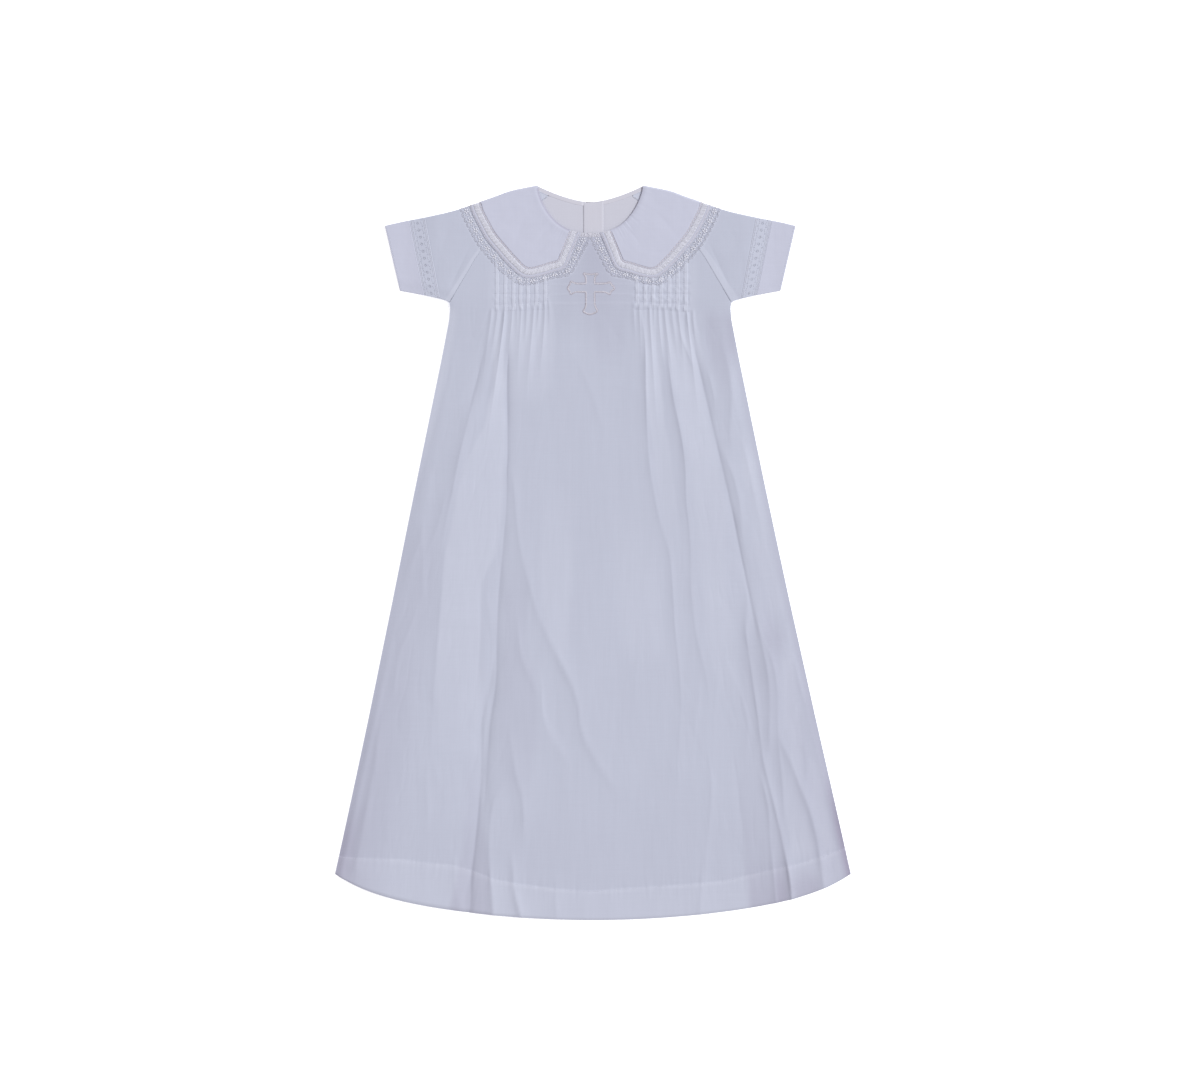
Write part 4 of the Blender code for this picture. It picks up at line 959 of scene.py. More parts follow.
def build_panel(name, chest_x, back, levels, height, turned, material, gap_skirt):
    """chest_x: x' of the columns; levels: y of the rows of the yoke; turned: which way the hem is turned (-1 or 1)."""
    chest_x = np.array(chest_x)
    count = len(chest_x)
    even_x = np.linspace(-1, 1, count)
    chest_t = chest_x / UNDERARM[0]
    def skirt(v):
        """Places of the columns at shares v of the skirt's height, v an array of (columns, rows)."""
        blend = ramp(0.08, 0.7, 1 - v)
        t = lerp(chest_t[:, None], even_x[:, None], blend * 0.8)
        y_side = lerp(HEM_SIDE_Y, 238.0, v)
        x = side_middle(y_side) + t * side_half(y_side)
        y = y_side - HEM_DROP * hem_share(t) * (1 - v)
        return x, y, t

    # the share at which each column crosses the hem's stitches
    deep = np.full((count, 1), 0.06)
    for _ in range(6):
        hx, hy, _t = skirt(deep)
        deep = np.clip(deep + (hem_line(hx) - hy) / (238.0 - HEM_SIDE_Y), 0.02, 0.2)
    band_mm = [0.0, 0.1, 0.24, 0.4, 0.55, 0.7, 0.84, 0.94, 0.97, 1.0]
    rows = []
    marks = [0.0, 0.002, 0.004, 0.008, 0.014] + [0.5] + [(165 - HEM_SIDE_Y) / (238 - HEM_SIDE_Y),
                                                     (226 - HEM_SIDE_Y) / (238 - HEM_SIDE_Y), 1.0]
    gaps = [0.002, 0.002, 0.004, 0.006, gap_skirt, gap_skirt, gap_skirt * 0.5, gap_skirt * 0.26]
    for (a, b), gap in zip(zip(marks, marks[1:]), gaps):
        n = max(1, int(math.ceil((b - a) / gap)))
        rows += [a + (b - a) * k / n for k in range(n)]
    rows = np.array(rows[1:] + [1.0])
    v_all = np.hstack([deep * np.array(band_mm)[None, :], deep + (1 - deep) * rows[None, :]])
    x, y, t = skirt(v_all)
    # the very corners of the hem are soft
    z = height(x, y)
    # the turned part of the hem: round the edge, and back up inside
    x0, y0, t0 = skirt(np.zeros((count, 1)))
    ix, iy, it = skirt(np.linspace(1.0, 0.0, 9)[None, :] * deep)
    ix = side_middle(iy) + (ix - side_middle(iy)) * 0.9985
    iy[:, -1] = y0[:, 0] + 0.35
    iz = height(ix, iy) + turned * 0.40
    arc = []
    for a in (0.25, 0.5, 0.75):
        ang = math.pi * a
        arc.append((x0[:, 0], y0[:, 0] + 0.1 - 0.2 * math.sin(ang), z[:, 0] + turned * 0.2 * (1 - math.cos(ang))))
    ax = np.stack([a[0] for a in arc[::-1]], 1)
    ay = np.stack([a[1] for a in arc[::-1]], 1)
    az = np.stack([a[2] for a in arc[::-1]], 1)
    X = np.hstack([ix, ax, x])
    Y = np.hstack([iy, ay, y])
    Z = np.hstack([iz, az, z])
    # the turned hem lies in two layers inside and along its band, and a painted highlight runs along the band's top
    # edge
    below = hem_line(x) - y
    patchy = 0.75 + 0.6 * perlin(x / 24.0, x / 90.0, 61) + 0.35 * perlin(x / 5.0, y / 5.0, 62)
    lit = 0.42 * ramp(-0.2, 0.4, below) + 0.5 * np.clip(patchy, 0, 1.2) * ramp(-0.6, 0.4, below) * (1 - ramp(1.4, 4.0, below))
    double = np.hstack([np.full_like(ix, 0.3), np.full_like(ax, 0.3), lit])
    verts = [np.stack([X.ravel(), Y.ravel(), Z.ravel()], 1)]
    per = X.shape[1]
    columns = [list(range(i * per, (i + 1) * per)) for i in range(count)]
    doubles = [double.ravel()]
    start = count * per
    tx, ty = PANEL_TOP[back]
    centre = (NOTCH[0] - YOKE_X, NOTCH[1] - YOKE_X)
    slot_columns = []
    for i, cx in enumerate(chest_x):
        top_y = float(np.interp(abs(cx), tx, ty))
        in_slot = back and centre[0] + 0.01 < cx < centre[1] - 0.01
        at_slot = back and min(abs(cx - centre[0]), abs(cx - centre[1])) < 0.02
        if in_slot:
            top_y = PLACKET_LOW
        ys = [v for v in levels if v < top_y - 0.4] + ([top_y] if top_y > 238.3 else [])
        ids = list(range(start, start + len(ys)))
        start += len(ys)
        if ys:
            yy = np.array(ys)
            xx = np.full(len(ys), cx + YOKE_X)
            verts.append(np.stack([xx, yy, height(xx, yy)], 1))
            doubles.append(np.zeros(len(ys)))
        columns[i] = columns[i] + ids
        slot_columns.append((in_slot, at_slot))
    faces = zip_columns(columns)
    if back:
        # open the slot: no faces above its foot between its two sides
        allv = np.vstack(verts)
        low_c, high_c = NOTCH
        keep = []
        for f in faces:
            cx, cy = allv[list(f), 0].mean(), allv[list(f), 1].mean()
            if low_c < cx < high_c and cy > PLACKET_LOW:
                continue
            keep.append(f)
        faces = keep
    verts = np.vstack(verts)
    obj = add_mesh(name, verts, faces, attributes={"double": np.concatenate(doubles)})
    obj.data.materials.append(material)
    return obj, columns, verts


def set_attribute(obj, key, values):
    layer = obj.data.attributes.get(key) or obj.data.attributes.new(key, "FLOAT", "POINT")
    layer.data.foreach_set("value", np.asarray(values, np.float32))


def build_front():
    left = [-c for c in chest_columns(-1)][::-1]
    right = chest_columns(1)
    levels = spread([238.0, 275.0], 1.15)[1:] + spread([275.0, 345.0], 2.6)[1:]
    obj, columns, verts = build_panel("gown_front", left[:-1] + right, False, levels, front_height, -1, BATISTE, 0.0088)
    # more layers at the tucks and the hem; painted light and shade in bands beside the folds; along the left rim
    # painted light, which partly is its seam allowance
    x, y = verts[:, 0], verts[:, 1]
    _, layers, cross = tucks(x, y)
    layer = np.empty(len(verts), np.float32)
    obj.data.attributes["double"].data.foreach_get("value", layer)
    painted_band = light_shade_bands(x, y)
    seam_and_painted_light = np.where(x < 0, 0.7, 0.0) * (1 - ramp(2, 11, edge_gap(x, y))) * ramp(60, 140, y) * (1 - ramp(226, 240, y))
    set_attribute(obj, "double", np.clip(np.maximum(layer, 0.9 * layers) + np.maximum(painted_band, 0) + seam_and_painted_light, 0, 1))
    # painted shade in the grooves of the rows stitched across the tucks, and in the darker bands beside the folds
    shade = 0.04 * np.clip(cross, 0, 1) + 0.1 * np.maximum(-painted_band, 0)
    rim = edge_gap(x, y)
    # painted shade darkens the sides of the skirt towards its lower corners
    low = 1 - ramp(-260, 120, y)
    shade = shade + low * (1 - ramp(0, 70, rim)) * np.where(x < 0, 0.095, 0.085)
    # the seam's allowance shows at the left, with painted light, above; here painted shade runs along the right rim, at
    # its turned edge
    shade = shade + np.where(x > 0, 0.06, 0.0) * (1 - ramp(0.5, 9, rim)) * (1 - ramp(214, 238, y))
    # painted shade, a little darker towards the hem
    shade = shade + 0.02 * (1 - ramp(-300, -200, y))
    # painted shade along the rims low on the skirt
    shade = shade + np.where(x > 0, 0.24 * (1 - ramp(0, 10, rim)) * (1 - ramp(-262, -200, y)),
                             0.13 * (1 - ramp(0, 24, rim)) * (1 - ramp(-280, -230, y)))
    # darker at the chest's centre, round the cross
    c = chest(x, y)
    shade = shade + 0.06 * bell(c, 34) * ramp(205, 262, y)
    set_attribute(obj, "shade", shade)
    # its wall is in its turned and bound edges; the sheet itself lies where the cloth's outer face does
    co = np.empty(len(verts) * 3, np.float32)
    obj.data.vertices.foreach_get("co", co)
    co[2::3] += 0.5 * THIN * MM * ramp(0, 3, rim)
    obj.data.vertices.foreach_set("co", co)
    return obj


def build_back():
    inner = sorted({NOTCH[0] - YOKE_X, NOTCH[1] - YOKE_X, 0.0, -UNDERARM[0], UNDERARM[0]})
    cols = spread(inner, 3.4)
    levels = spread([238.0, PLACKET_LOW, 345.0], 2.6)[1:]
    obj, columns, verts = build_panel("gown_back", cols, True, levels, back_height, 1, INSIDE, 0.016)
    layer = np.empty(len(verts), np.float32)
    obj.data.attributes["double"].data.foreach_get("value", layer)
    x, y = verts[:, 0], verts[:, 1]
    set_attribute(obj, "double", np.maximum(layer, 0.75 * ramp(296, 304, y) * (1 - ramp(50, 60, np.abs(x - YOKE_X)))))
    set_attribute(obj, "shade", np.zeros(len(verts)))
    wall(obj, THIN)
    # the narrow faces of the cut edge don't turn the broad ones' shading
    even_shade = obj.modifiers.new("even shade", "WEIGHTED_NORMAL")
    even_shade.mode = "FACE_AREA"
    even_shade.weight = 100
    return obj


front = build_front()
back = build_back()


# ---------------------------------------------------------------- sleeves, insertions, cuffs
LOW_LINE = curve([(134.3, 238.1), (136.4, 239.9), (139.2, 241.0), (163.0, 246.6), (181.5, 250.0)], 0.8)


def from_cuff(line, off):
    """The place on a line at a distance from its cuff end."""
    total = lengths(line)[-1]
    return read_line(line, 1 - off / total)


def part_of(line, a, b, count):
    """Even places on a line between two distances from its cuff end, a farther than b."""
    total = lengths(line)[-1]
    return read_line(line, 1 - np.linspace(a, b, count) / total)


def seam_line(back):
    """Where a sleeve meets panel and binding, from the underarm up to the shoulder fold."""
    end = NECK_END_BACK if back else NECK_END_FRONT
    rag = RAGLAN[back][:-1].copy()
    up = np.array([neck_off(a, BINDING - 0.5, back) for a in np.linspace(end, 90, 14)])
    line = np.vstack([rag, up])
    n = unit(np.gradient(line, axis=0))
    line = line - np.stack([n[:, 1], -n[:, 0]], 1) * 0.45  # tucked under the panel's edge
    return even(line, count=240)


SLEEVE_CREASES = [
    # as FOLDS, with points of (x', y, height)
    ("armpit", 5, 4, 1.0, [(136, 246, 0), (131, 258, -.3), (124, 273, -.35), (117, 288, -.2), (112, 298, 0)]),
    ("low", 3.5, 5, 1.0, [(142, 247, 0), (146, 257, -.2), (147, 270, -.2), (145, 284, 0)]),
    ("upper", 6, 5, 1.5, [(128, 318, 0), (136, 306, -.2), (140, 292, -.2), (141, 280, 0)]),
]
SLEEVE_LINES = [(row, curve(row[4], 3.0)) for row in SLEEVE_CREASES]
OUTLINE = np.array([(165.4, 69.3), (142.0, 183.7), (134.6, 221.8), (133.6, 233.0), (134.3, 238.0), (136.4, 239.9),
                    (139.2, 241.0), (163.0, 246.6), (181.5, 250.0)])
OUTLINE = np.hstack([OUTLINE, np.zeros((len(OUTLINE), 1))])


def sleeve_height(side, x, y, back, seam_gap, tuck=0.14):
    """x is x'. seam_gap is the distance from the piece's seams."""
    X = YOKE_X + side * x
    low_gap = np.abs(beside(OUTLINE, x, y)[0])
    if back:
        z = back_base(X, y) + 0.1 * (1 - ramp(0, 6, low_gap))
    else:
        z = front_base(X, y) - 0.75 * (1 - ramp(0, 12, low_gap)) + 0.08 * bell(low_gap - 10, 5)
        z = z + creases(x + (1.5 if side > 0 else 0), y - (2 if side > 0 else 0), SLEEVE_LINES)
        z = z + 0.12 * perlin(x / 13.0 + side * 3, y / 17.0, 21) + 0.05 * perlin(x / 5.0, y / 6.0 + side, 22)
    if back:
        return z + 0.34 * (1 - ramp(0.4, 0.75, seam_gap))
    return z - tuck * (1 - ramp(0.4, 0.75, seam_gap))


def tube_piece(name, side, starts, end, top, low, around, steps, material, band=False, easing=1.0, thick=THIN,
               tucked=(True, True)):
    """A flattened tube between a start seam (one line for the front layer, one for the back) and an end line;
    top and low are its edges along the arm."""
    v = np.linspace(0, 1, steps + 1) ** easing
    u = np.linspace(0, 1, around + 1)
    u = lerp(u, 0.5 - 0.5 * np.cos(u * math.pi), 0.55)
    r_top = 0.6
    layers = {}
    for is_back in (False, True):
        s = read_line(starts[is_back], u)  # (around + 1, 2)
        e = lerp(end[0][None], end[1][None], u[:, None])
        # the first and last rows keep their distance from the seams, wherever they are long or short
        long = np.linalg.norm(e - s, axis=1)[:, None]
        close = np.array([0.0, 0.42, 0.8, 1.3])
        near = close[None] / long
        V2 = np.hstack([near, near[:, -1:] + (1 - 2 * near[:, -1:]) * v[None, 1:-1], 1 - near[:, ::-1]])
        l = read_line(low, V2)
        t = read_line(top, V2)
        U, V = u[:, None, None], V2[:, :, None]
        p = (1 - V) * s[:, None] + V * e[:, None] + (1 - U) * l + U * t
        p = p - ((1 - U) * (1 - V) * s[0] + U * (1 - V) * s[-1] + (1 - U) * V * e[0] + U * V * e[-1])
        # in from the outline by the fold's own radius
        p = p - FOLD_OUT * (r_top + thick / 2 - 0.1) * ramp(0.6, 1.0, u)[:, None, None]
        p = p + FOLD_OUT * 0.2 * (1 - ramp(0.0, 0.2, u))[:, None, None]
        gap_start = np.linalg.norm(p - p[:, :1], axis=2)
        gap_end = np.linalg.norm(p - p[:, -1:], axis=2)
        gap = np.minimum(gap_start if tucked[0] else gap_start * 0 + 9, gap_end if tucked[1] else gap_end * 0 + 9)
        z = sleeve_height(side, p[..., 0], p[..., 1], is_back, gap)
        for bare, g in ((not tucked[0], gap_start), (not tucked[1], gap_end)):
            if bare:
                z = z - (-1 if is_back else 1) * 0.12 * (1 - ramp(0.0, 1.0, g))
        double = np.zeros(z.shape)
        if band and not is_back:
            wide = ramp(0.6, 1.4, gap_start) * (1 - (ramp(3.6, 6.0, gap_start) if side < 0 else ramp(7.0, 9.6, gap_start)))
            z = z + 0.05 * wide
            double = wide * (0.8 if side < 0 else 0.6)
        if band and is_back:
            double = 0.95 * (1 - ramp(61, 66, p[..., 0]))
        layers[is_back] = (p, z, double)
    (pf, zf, df), (pb, zb, db) = layers[False], layers[True]
    rings = []  # from the front's lower edge, up, round the fold, down the back, round the lower edge
    for k in range(around + 1):
        rings.append((pf[k], zf[k], df[k]))
    for a in (30, 60, 90, 120, 150):
        a = math.radians(a)
        mid, r = (zf[-1] + zb[-1]) / 2, (zf[-1] - zb[-1]) / 2
        p = lerp(pf[-1], pb[-1], a / math.pi) + FOLD_OUT * (r * math.sin(a))[:, None]
        rings.append((p, mid + r * math.cos(a), df[-1] * 0))
    for k in range(around, -1, -1):
        rings.append((pb[k], zb[k], db[k]))
    for a in (60, 120):
        a = math.radians(a)
        mid, r = (zf[0] + zb[0]) / 2, (zf[0] - zb[0]) / 2
        p = lerp(pb[0], pf[0], a / math.pi) - FOLD_OUT * (np.abs(r) * math.sin(a))[:, None]
        rings.append((p, mid - r * math.cos(a), df[0] * 0))
    verts, double = [], []
    for p, z, d in rings:
        verts.append(np.stack([YOKE_X + side * p[:, 0], p[:, 1], z], 1))
        double.append(d)
    n, m = len(rings), len(verts[0])
    faces = []
    for i in range(n):
        for j in range(m - 1):
            a, b = i * m + j, ((i + 1) % n) * m + j
            q = (a, b, b + 1, a + 1)
            faces.append(q[::-1] if side < 0 else q)
    obj = add_mesh(name, np.vstack(verts), faces, attributes={"double": np.concatenate(double),
                                                              "shade": np.zeros(n * m)})
    obj.data.materials.append(material)
    wall(obj, thick)
    return obj, layers


SLEEVES = {}
for side, name in ((-1, "left"), (1, "right")):
    seams = {False: seam_line(False), True: seam_line(True)}
    neck_x = float(neck_off(90, BINDING - 0.5)[0])
    top_from = lengths(TOP_FOLD_LINE)[-1] - np.interp(neck_x, TOP_FOLD_LINE[:, 0], lengths(TOP_FOLD_LINE))
    low_from = lengths(LOW_LINE)[-1]
    stops = [CUFF + INSERTION + 2 * SEAM, CUFF + INSERTION + SEAM, CUFF + SEAM, CUFF, 0.0]

    def cross(off):
        return np.array([from_cuff(LOW_LINE, off), from_cuff(TOP_FOLD_LINE, off)])

    def seam_of(off):
        a, b = cross(off)
        line = lerp(a[None], b[None], np.linspace(0, 1, 60)[:, None])
        return {False: line, True: line}

    pieces = {}
    pieces["sleeve"] = tube_piece(
        f"gown_sleeve_{name}", side, seams, cross(stops[0] - 0.9),
        part_of(TOP_FOLD_LINE, top_from, stops[0] - 0.9, 80), part_of(LOW_LINE, low_from, stops[0] - 0.9, 40),
        56, 54, BATISTE, band=True, easing=1.2)
    pieces["insertion"] = tube_piece(
        f"gown_insertion_{name}", side, seam_of(stops[1] + 0.1), cross(stops[2] - 0.1),
        part_of(TOP_FOLD_LINE, stops[1] + 0.1, stops[2] - 0.1, 30), part_of(LOW_LINE, stops[1] + 0.1, stops[2] - 0.1, 20),
        40, 16, BATISTE, thick=0.26, tucked=(False, False))
    pieces["cuff"] = tube_piece(
        f"gown_cuff_{name}", side, seam_of(stops[3] + 0.8), cross(stops[4]),
        part_of(TOP_FOLD_LINE, stops[3] + 0.8, 0, 30), part_of(LOW_LINE, stops[3] + 0.8, 0, 20),
        40, 24, BATISTE_DOUBLE, thick=THICK, tucked=(True, False))
    SLEEVES[name] = pieces


# ---------------------------------------------------------------- collar: cloth, ladder band, lace
FOLD_EDGE = unit(np.array([127.7 - 92.0, 326.6 - 338.4]))
COLLAR_OUT = np.array([-FOLD_EDGE[1], FOLD_EDGE[0]])
BACK_IN = 1.2
COLLAR_MID = 0.92  # above the front's own middle
BACK_MID = 0.5  # above the surface
TURNS = np.radians(np.linspace(0, 180, 13))


def rows_through(rows, per, key):
    """Smooth rows through the given ones, `per` to each step; key is the two columns the steps are measured on."""
    p = np.array(rows, float)
    p = np.vstack([2 * p[0] - p[1], p, 2 * p[-1] - p[-2]])
    out = []
    for a, b, c, d in zip(p, p[1:], p[2:], p[3:]):
        k = slice(key, key + 2)
        ta = 0.0
        tb = ta + max(np.linalg.norm(b[k] - a[k]), 1e-6) ** 0.5
        tc = tb + max(np.linalg.norm(c[k] - b[k]), 1e-6) ** 0.5
        td = tc + max(np.linalg.norm(d[k] - c[k]), 1e-6) ** 0.5
        t = np.linspace(tb, tc, per, endpoint=False)[:, None]
        a1 = (tb - t) / (tb - ta) * a + (t - ta) / (tb - ta) * b
        a2 = (tc - t) / (tc - tb) * b + (t - tb) / (tc - tb) * c
        a3 = (td - t) / (td - tc) * c + (t - tc) / (td - tc) * d
        b1 = (tc - t) / (tc - ta) * a1 + (t - ta) / (tc - ta) * a2
        b2 = (td - t) / (td - tb) * a2 + (t - tb) / (td - tb) * a3
        out.append((tc - t) / (tc - tb) * b1 + (t - tb) / (tc - tb) * b2)
    return np.vstack(out + [p[-2][None]])


def collar_rows():
    """(neck x', y, edge x', y, lace share) at the front and at the back, each from the centre to the shoulder fold."""
    front_rows = [(*neck(a), x, y, s) for a, x, y, s in COLLAR_FRONT_EDGE]
    front_rows.append((SHOULDER[0] - COLLAR_OUT[0] * BACK_IN, SHOULDER[1] - COLLAR_OUT[1] * BACK_IN,
                       EDGE_FOLD_X - COLLAR_OUT[0] * BACK_IN, fold_y(EDGE_FOLD_X) - COLLAR_OUT[1] * BACK_IN, 1.0))
    back_rows = []
    top = fold_y(EDGE_FOLD_X)
    low = float(neck_back_y(0)) - BACK_COLLAR_DEPTH
    for angle, share in ((76, 0.93), (62, 0.74), (46, 0.55), (31, 0.36), (18, 0.2)):
        back_rows.append((*neck(angle, True), EDGE_FOLD_X * share, low + (top - low) * share**3.4, 1.0))
    end_angle = math.degrees(math.asin(COLLAR_END / SHOULDER[0]))
    back_rows.append((*neck(end_angle, True), COLLAR_END, low, 1.0))
    back_rows.insert(0, front_rows[-1])
    return front_rows, back_rows


def turned(side, flat, up, down, turn):
    """Places (x', y) at the shoulder fold, carried round it by a turn."""
    r, mid = (up - down) / 2, (up + down) / 2
    xy = flat + COLLAR_OUT * (r * np.sin(turn))[..., None]
    return np.stack([YOKE_X + side * xy[..., 0], xy[..., 1], mid + r * np.cos(turn)], -1)


def collar_front_z(side, x, y):
    return front_base(YOKE_X + side * x, y) + COLLAR_MID


COLLAR_CREASES = {
    -1: [("a", 2.4, 3, .7, [(30, 316, 0), (38, 311, -.2), (46, 303, -.18), (52, 294, 0)]),
         ("b", 3, 4, .9, [(60, 322, 0), (66, 312, -.18), (70, 300, -.2), (73, 290, 0)]),
         ("c", 3, 2.4, .8, [(40, 296, 0), (47, 289, -.2), (56, 284, -.18), (64, 283, 0)]),
         ("d", 3, 4.5, 1.0, [(72, 330, 0), (84, 322, -.18), (92, 312, -.15), (97, 306, 0)]),
         ("e", 2, 2.6, .6, [(47, 335, 0), (54, 331, -.25), (61, 325, -.15), (67, 318, 0)])],
    1: [("a", 2.6, 3, .7, [(31, 312, 0), (39, 305, -.18), (46, 296, -.18), (50, 288, 0)]),
        ("b", 4, 3, 1.0, [(56, 330, 0), (66, 321, -.2), (77, 309, -.2), (86, 298, 0)]),
        ("c", 2.6, 3, .8, [(48, 290, 0), (57, 287, -.18), (68, 287, -.18), (76, 290, 0)]),
        ("d", 3, 4, .9, [(80, 334, 0), (90, 325, -.18), (96, 315, -.12), (99, 308, 0)])],
}
COLLAR_LINES = {side: [(row, curve(row[4], 3.0)) for row in rows] for side, rows in COLLAR_CREASES.items()}
FRONT_ROWS, BACK_ROWS = collar_rows()


def build_collar_cloth(side, name):
    across = 40
    front_r = rows_through(FRONT_ROWS, 9, 2)
    back_r = rows_through(BACK_ROWS, 8, 2)
    v = np.linspace(0, 1, across + 1)
    v = lerp(v, 0.5 - 0.5 * np.cos(v * math.pi), 0.5)
    grid, edge_shade = [], []

    def flat_of(row, at_fold):
        p = lerp(row[None, :2], row[None, 2:4], v[:, None])
        if at_fold > 0:
            want = fold_y(p[:, 0] + COLLAR_OUT[0] * BACK_IN) - COLLAR_OUT[1] * BACK_IN
            p[:, 1] = lerp(p[:, 1], want, at_fold)
        return p

    n = len(front_r)
    for k, row in enumerate(front_r):
        near = ramp(n - 1 - 9, n - 1, k)
        p = flat_of(row, near)
        long = np.linalg.norm(row[2:4] - row[:2])
        d = v * long
        z = collar_front_z(side, p[:, 0], p[:, 1])
        z = z - 0.42 * (1 - ramp(0, 3.2, d)) + 0.12 * bell(d - 4.2, 2.2)
        z = z - 0.12 * (1 - ramp(0, 1.0, long - d))
        z = z + creases(p[:, 0], p[:, 1], COLLAR_LINES[side]) * (1 - near)
        angle = k / n * 60.0
        pucker = perlin(np.full(len(d), angle * 0.62 + 9 * side), d / 40.0, 41) * bell(d - 2, 9) * 0.22
        soft = 0.16 * perlin(p[:, 0] / 14.0 + 4 * side, p[:, 1] / 12.0, 42) + 0.05 * perlin(p[:, 0] / 5.0, p[:, 1] / 5.0, 43)
        z = z + (pucker + soft) * (1 - near)
        grid.append(np.stack([YOKE_X + side * p[:, 0], p[:, 1], z], 1))
        # the neck edge is in shade on the left, where it turns down into the neck
        edge_shade.append((0.2 if side < 0 else 0.08) * (1 - ramp(0.5, 2.4, d)) * (1 - near))
    fold_flat = flat_of(front_r[-1], 1)
    up = grid[-1][:, 2]
    for turn in TURNS[1:-1]:
        grid.append(turned(side, fold_flat, up, np.full(len(v), BACK_MID), turn))
    for k, row in enumerate(back_r):
        p = flat_of(row, 1 - ramp(0, 8, k))
        grid.append(np.stack([YOKE_X + side * p[:, 0], p[:, 1], np.full(len(v), BACK_MID)], 1))
    verts = np.vstack(grid)
    shade = np.zeros(len(verts))
    shade[:len(edge_shade) * (across + 1)] = np.concatenate(edge_shade)
    faces = grid_faces(len(grid) - 1, across, flip=side < 0)
    obj = add_mesh(name, verts, faces, attributes={"double": np.full(len(verts), 0.8), "shade": shade})
    obj.data.materials.append(BATISTE_DOUBLE)
    wall(obj, 0.46)
    return obj


def strip_guides():
    """Rows of (inner x', y, seam x', y, outer x', y): the strips' three lines, front and back, each to the fold."""
    top = np.array(neck(COLLAR_FRONT_EDGE[0][0]))
    first = np.array(COLLAR_FRONT_EDGE[0][1:3])
    share0 = COLLAR_FRONT_EDGE[0][3]
    down = unit(first - top)
    square = np.array([down[1], -down[0]])
    rows = []
    for s in (0.0, 0.12, 0.34, 0.64):
        e = lerp(top, first, s)
        share = lerp(LACE_AT_NECK, share0, s)
        row = []
        for off in (0.0, BAND, BAND + LACE * share):
            p = e + square * off * (1.12 if s == 0 else 1.0)
            if s == 0:
                p = np.array([max(p[0], 0.3), 0.0])
                p[1] = float(neck_front_y(p[0])) - 0.2
            p[0] = max(p[0], 0.3)
            row += [p[0], p[1]]
        rows.append(row)
    edges = np.array([r[1:3] for r in COLLAR_FRONT_EDGE])
    shares = [r[3] for r in COLLAR_FRONT_EDGE]
    ends = np.vstack([edges, [EDGE_FOLD_X, fold_y(EDGE_FOLD_X)]])
    for k, (e, share) in enumerate(zip(edges, shares)):
        a = unit(ends[k + 1] - e)
        n2 = np.array([a[1], -a[0]])
        if k == 0:
            n = unit(square + n2)
        else:
            b = unit(e - ends[k - 1])
            n = unit(np.array([b[1], -b[0]]) + n2)
        row = []
        for off in (0.0, BAND, BAND + LACE * share):
            row += [*(e + n * off)]
        rows.append(row)
    f = np.array([EDGE_FOLD_X, float(fold_y(EDGE_FOLD_X))]) - COLLAR_OUT * BACK_IN
    fold_row = []
    for off in (0.0, BAND, BAND + LACE):
        x = f[0] + FOLD_EDGE[0] * off
        fold_row += [x, float(fold_y(x + COLLAR_OUT[0] * BACK_IN)) - COLLAR_OUT[1] * BACK_IN]
    rows.append(fold_row)
    back_rows = [fold_row]
    b = np.array([r[2:4] for r in BACK_ROWS])
    for k in range(1, len(b)):
        if k + 1 < len(b):
            t = unit(unit(b[k + 1] - b[k]) + unit(b[k] - b[k - 1]))
            n = np.array([-t[1], t[0]])
            if n[1] > 0 and n[0] < 0:
                n = -n
        else:
            n = np.array([0.0, -1.0])
        row = []
        for off in (0.0, BAND, BAND + LACE):
            row += [*(b[k] + n * off)]
        back_rows.append(row)
    return rows, back_rows


class Strip:
    """Maps a place on the strips, u along the seam and v out from the cloth's edge, and a height h, into the scene."""

    def __init__(self, side):
        front_g, back_g = strip_guides()
        fr = rows_through(front_g, 12, 2)
        br = rows_through(back_g, 10, 2)
        lines = []
        normals = []
        for row in fr:
            pts = row.reshape(3, 2)
            z = collar_front_z(side, pts[:, 0], pts[:, 1]) - np.array([0.26, 0.22, 0.42])
            lines.append(np.stack([YOKE_X + side * pts[:, 0], pts[:, 1], z], 1))
            normals.append((0, 0, 1))
        pts = fr[-1].reshape(3, 2)
        up = lines[-1][:, 2]
        for turn in TURNS[1:-1]:
            lines.append(turned(side, pts, up, np.full(3, BACK_MID), turn))
            o = COLLAR_OUT * math.sin(turn)
            normals.append((side * o[0], o[1], math.cos(turn)))
        for row in br:
            pts = row.reshape(3, 2)
            lines.append(np.stack([YOKE_X + side * pts[:, 0], pts[:, 1], np.full(3, BACK_MID)], 1))
            normals.append((0, 0, -1))
        self.lines = np.array(lines)
        self.normals = np.array(normals, float)
        step = np.linalg.norm(np.diff(self.lines[:, 1], axis=0), axis=1)
        step2 = np.linalg.norm(np.diff(self.lines[:, 0], axis=0), axis=1)
        self.at = np.concatenate([[0], np.cumsum(0.5 * (step + step2))])
        self.long = self.at[-1]
        self.side = side

    def __call__(self, u, v, h):
        u, v, h = (np.asarray(k, float) for k in (u, v, h))
        out = []
        for line in range(3):
            out.append(np.stack([np.interp(u, self.at, self.lines[:, line, k]) for k in range(3)], -1))
        n = unit(np.stack([np.interp(u, self.at, self.normals[:, k]) for k in range(3)], -1))
        inner = lerp(out[0], out[1], np.clip(v / BAND, 0, 1)[..., None])
        outer = (out[2] - out[1]) * (np.maximum(v - BAND, 0) / LACE)[..., None]
        ripple = 0.1 * perlin(u / 7.5, v / 22.0 + self.side, 51) * ramp(2, 18, v) * np.abs(n[..., 2])
        ripple = np.where(n[..., 2] < 0, np.minimum(ripple * 0.3, 0.05), ripple)
        return inner + outer + n * (h + ripple)[..., None], n


def map_paths(strip, paths):
    """paths: arrays of (u, v, h)."""
    flat = np.vstack(paths)
    p, n = strip(flat[:, 0], flat[:, 1], flat[:, 2])
    cuts = np.cumsum([len(k) for k in paths])[:-1]
    return np.split(p, cuts), np.split(n, cuts)


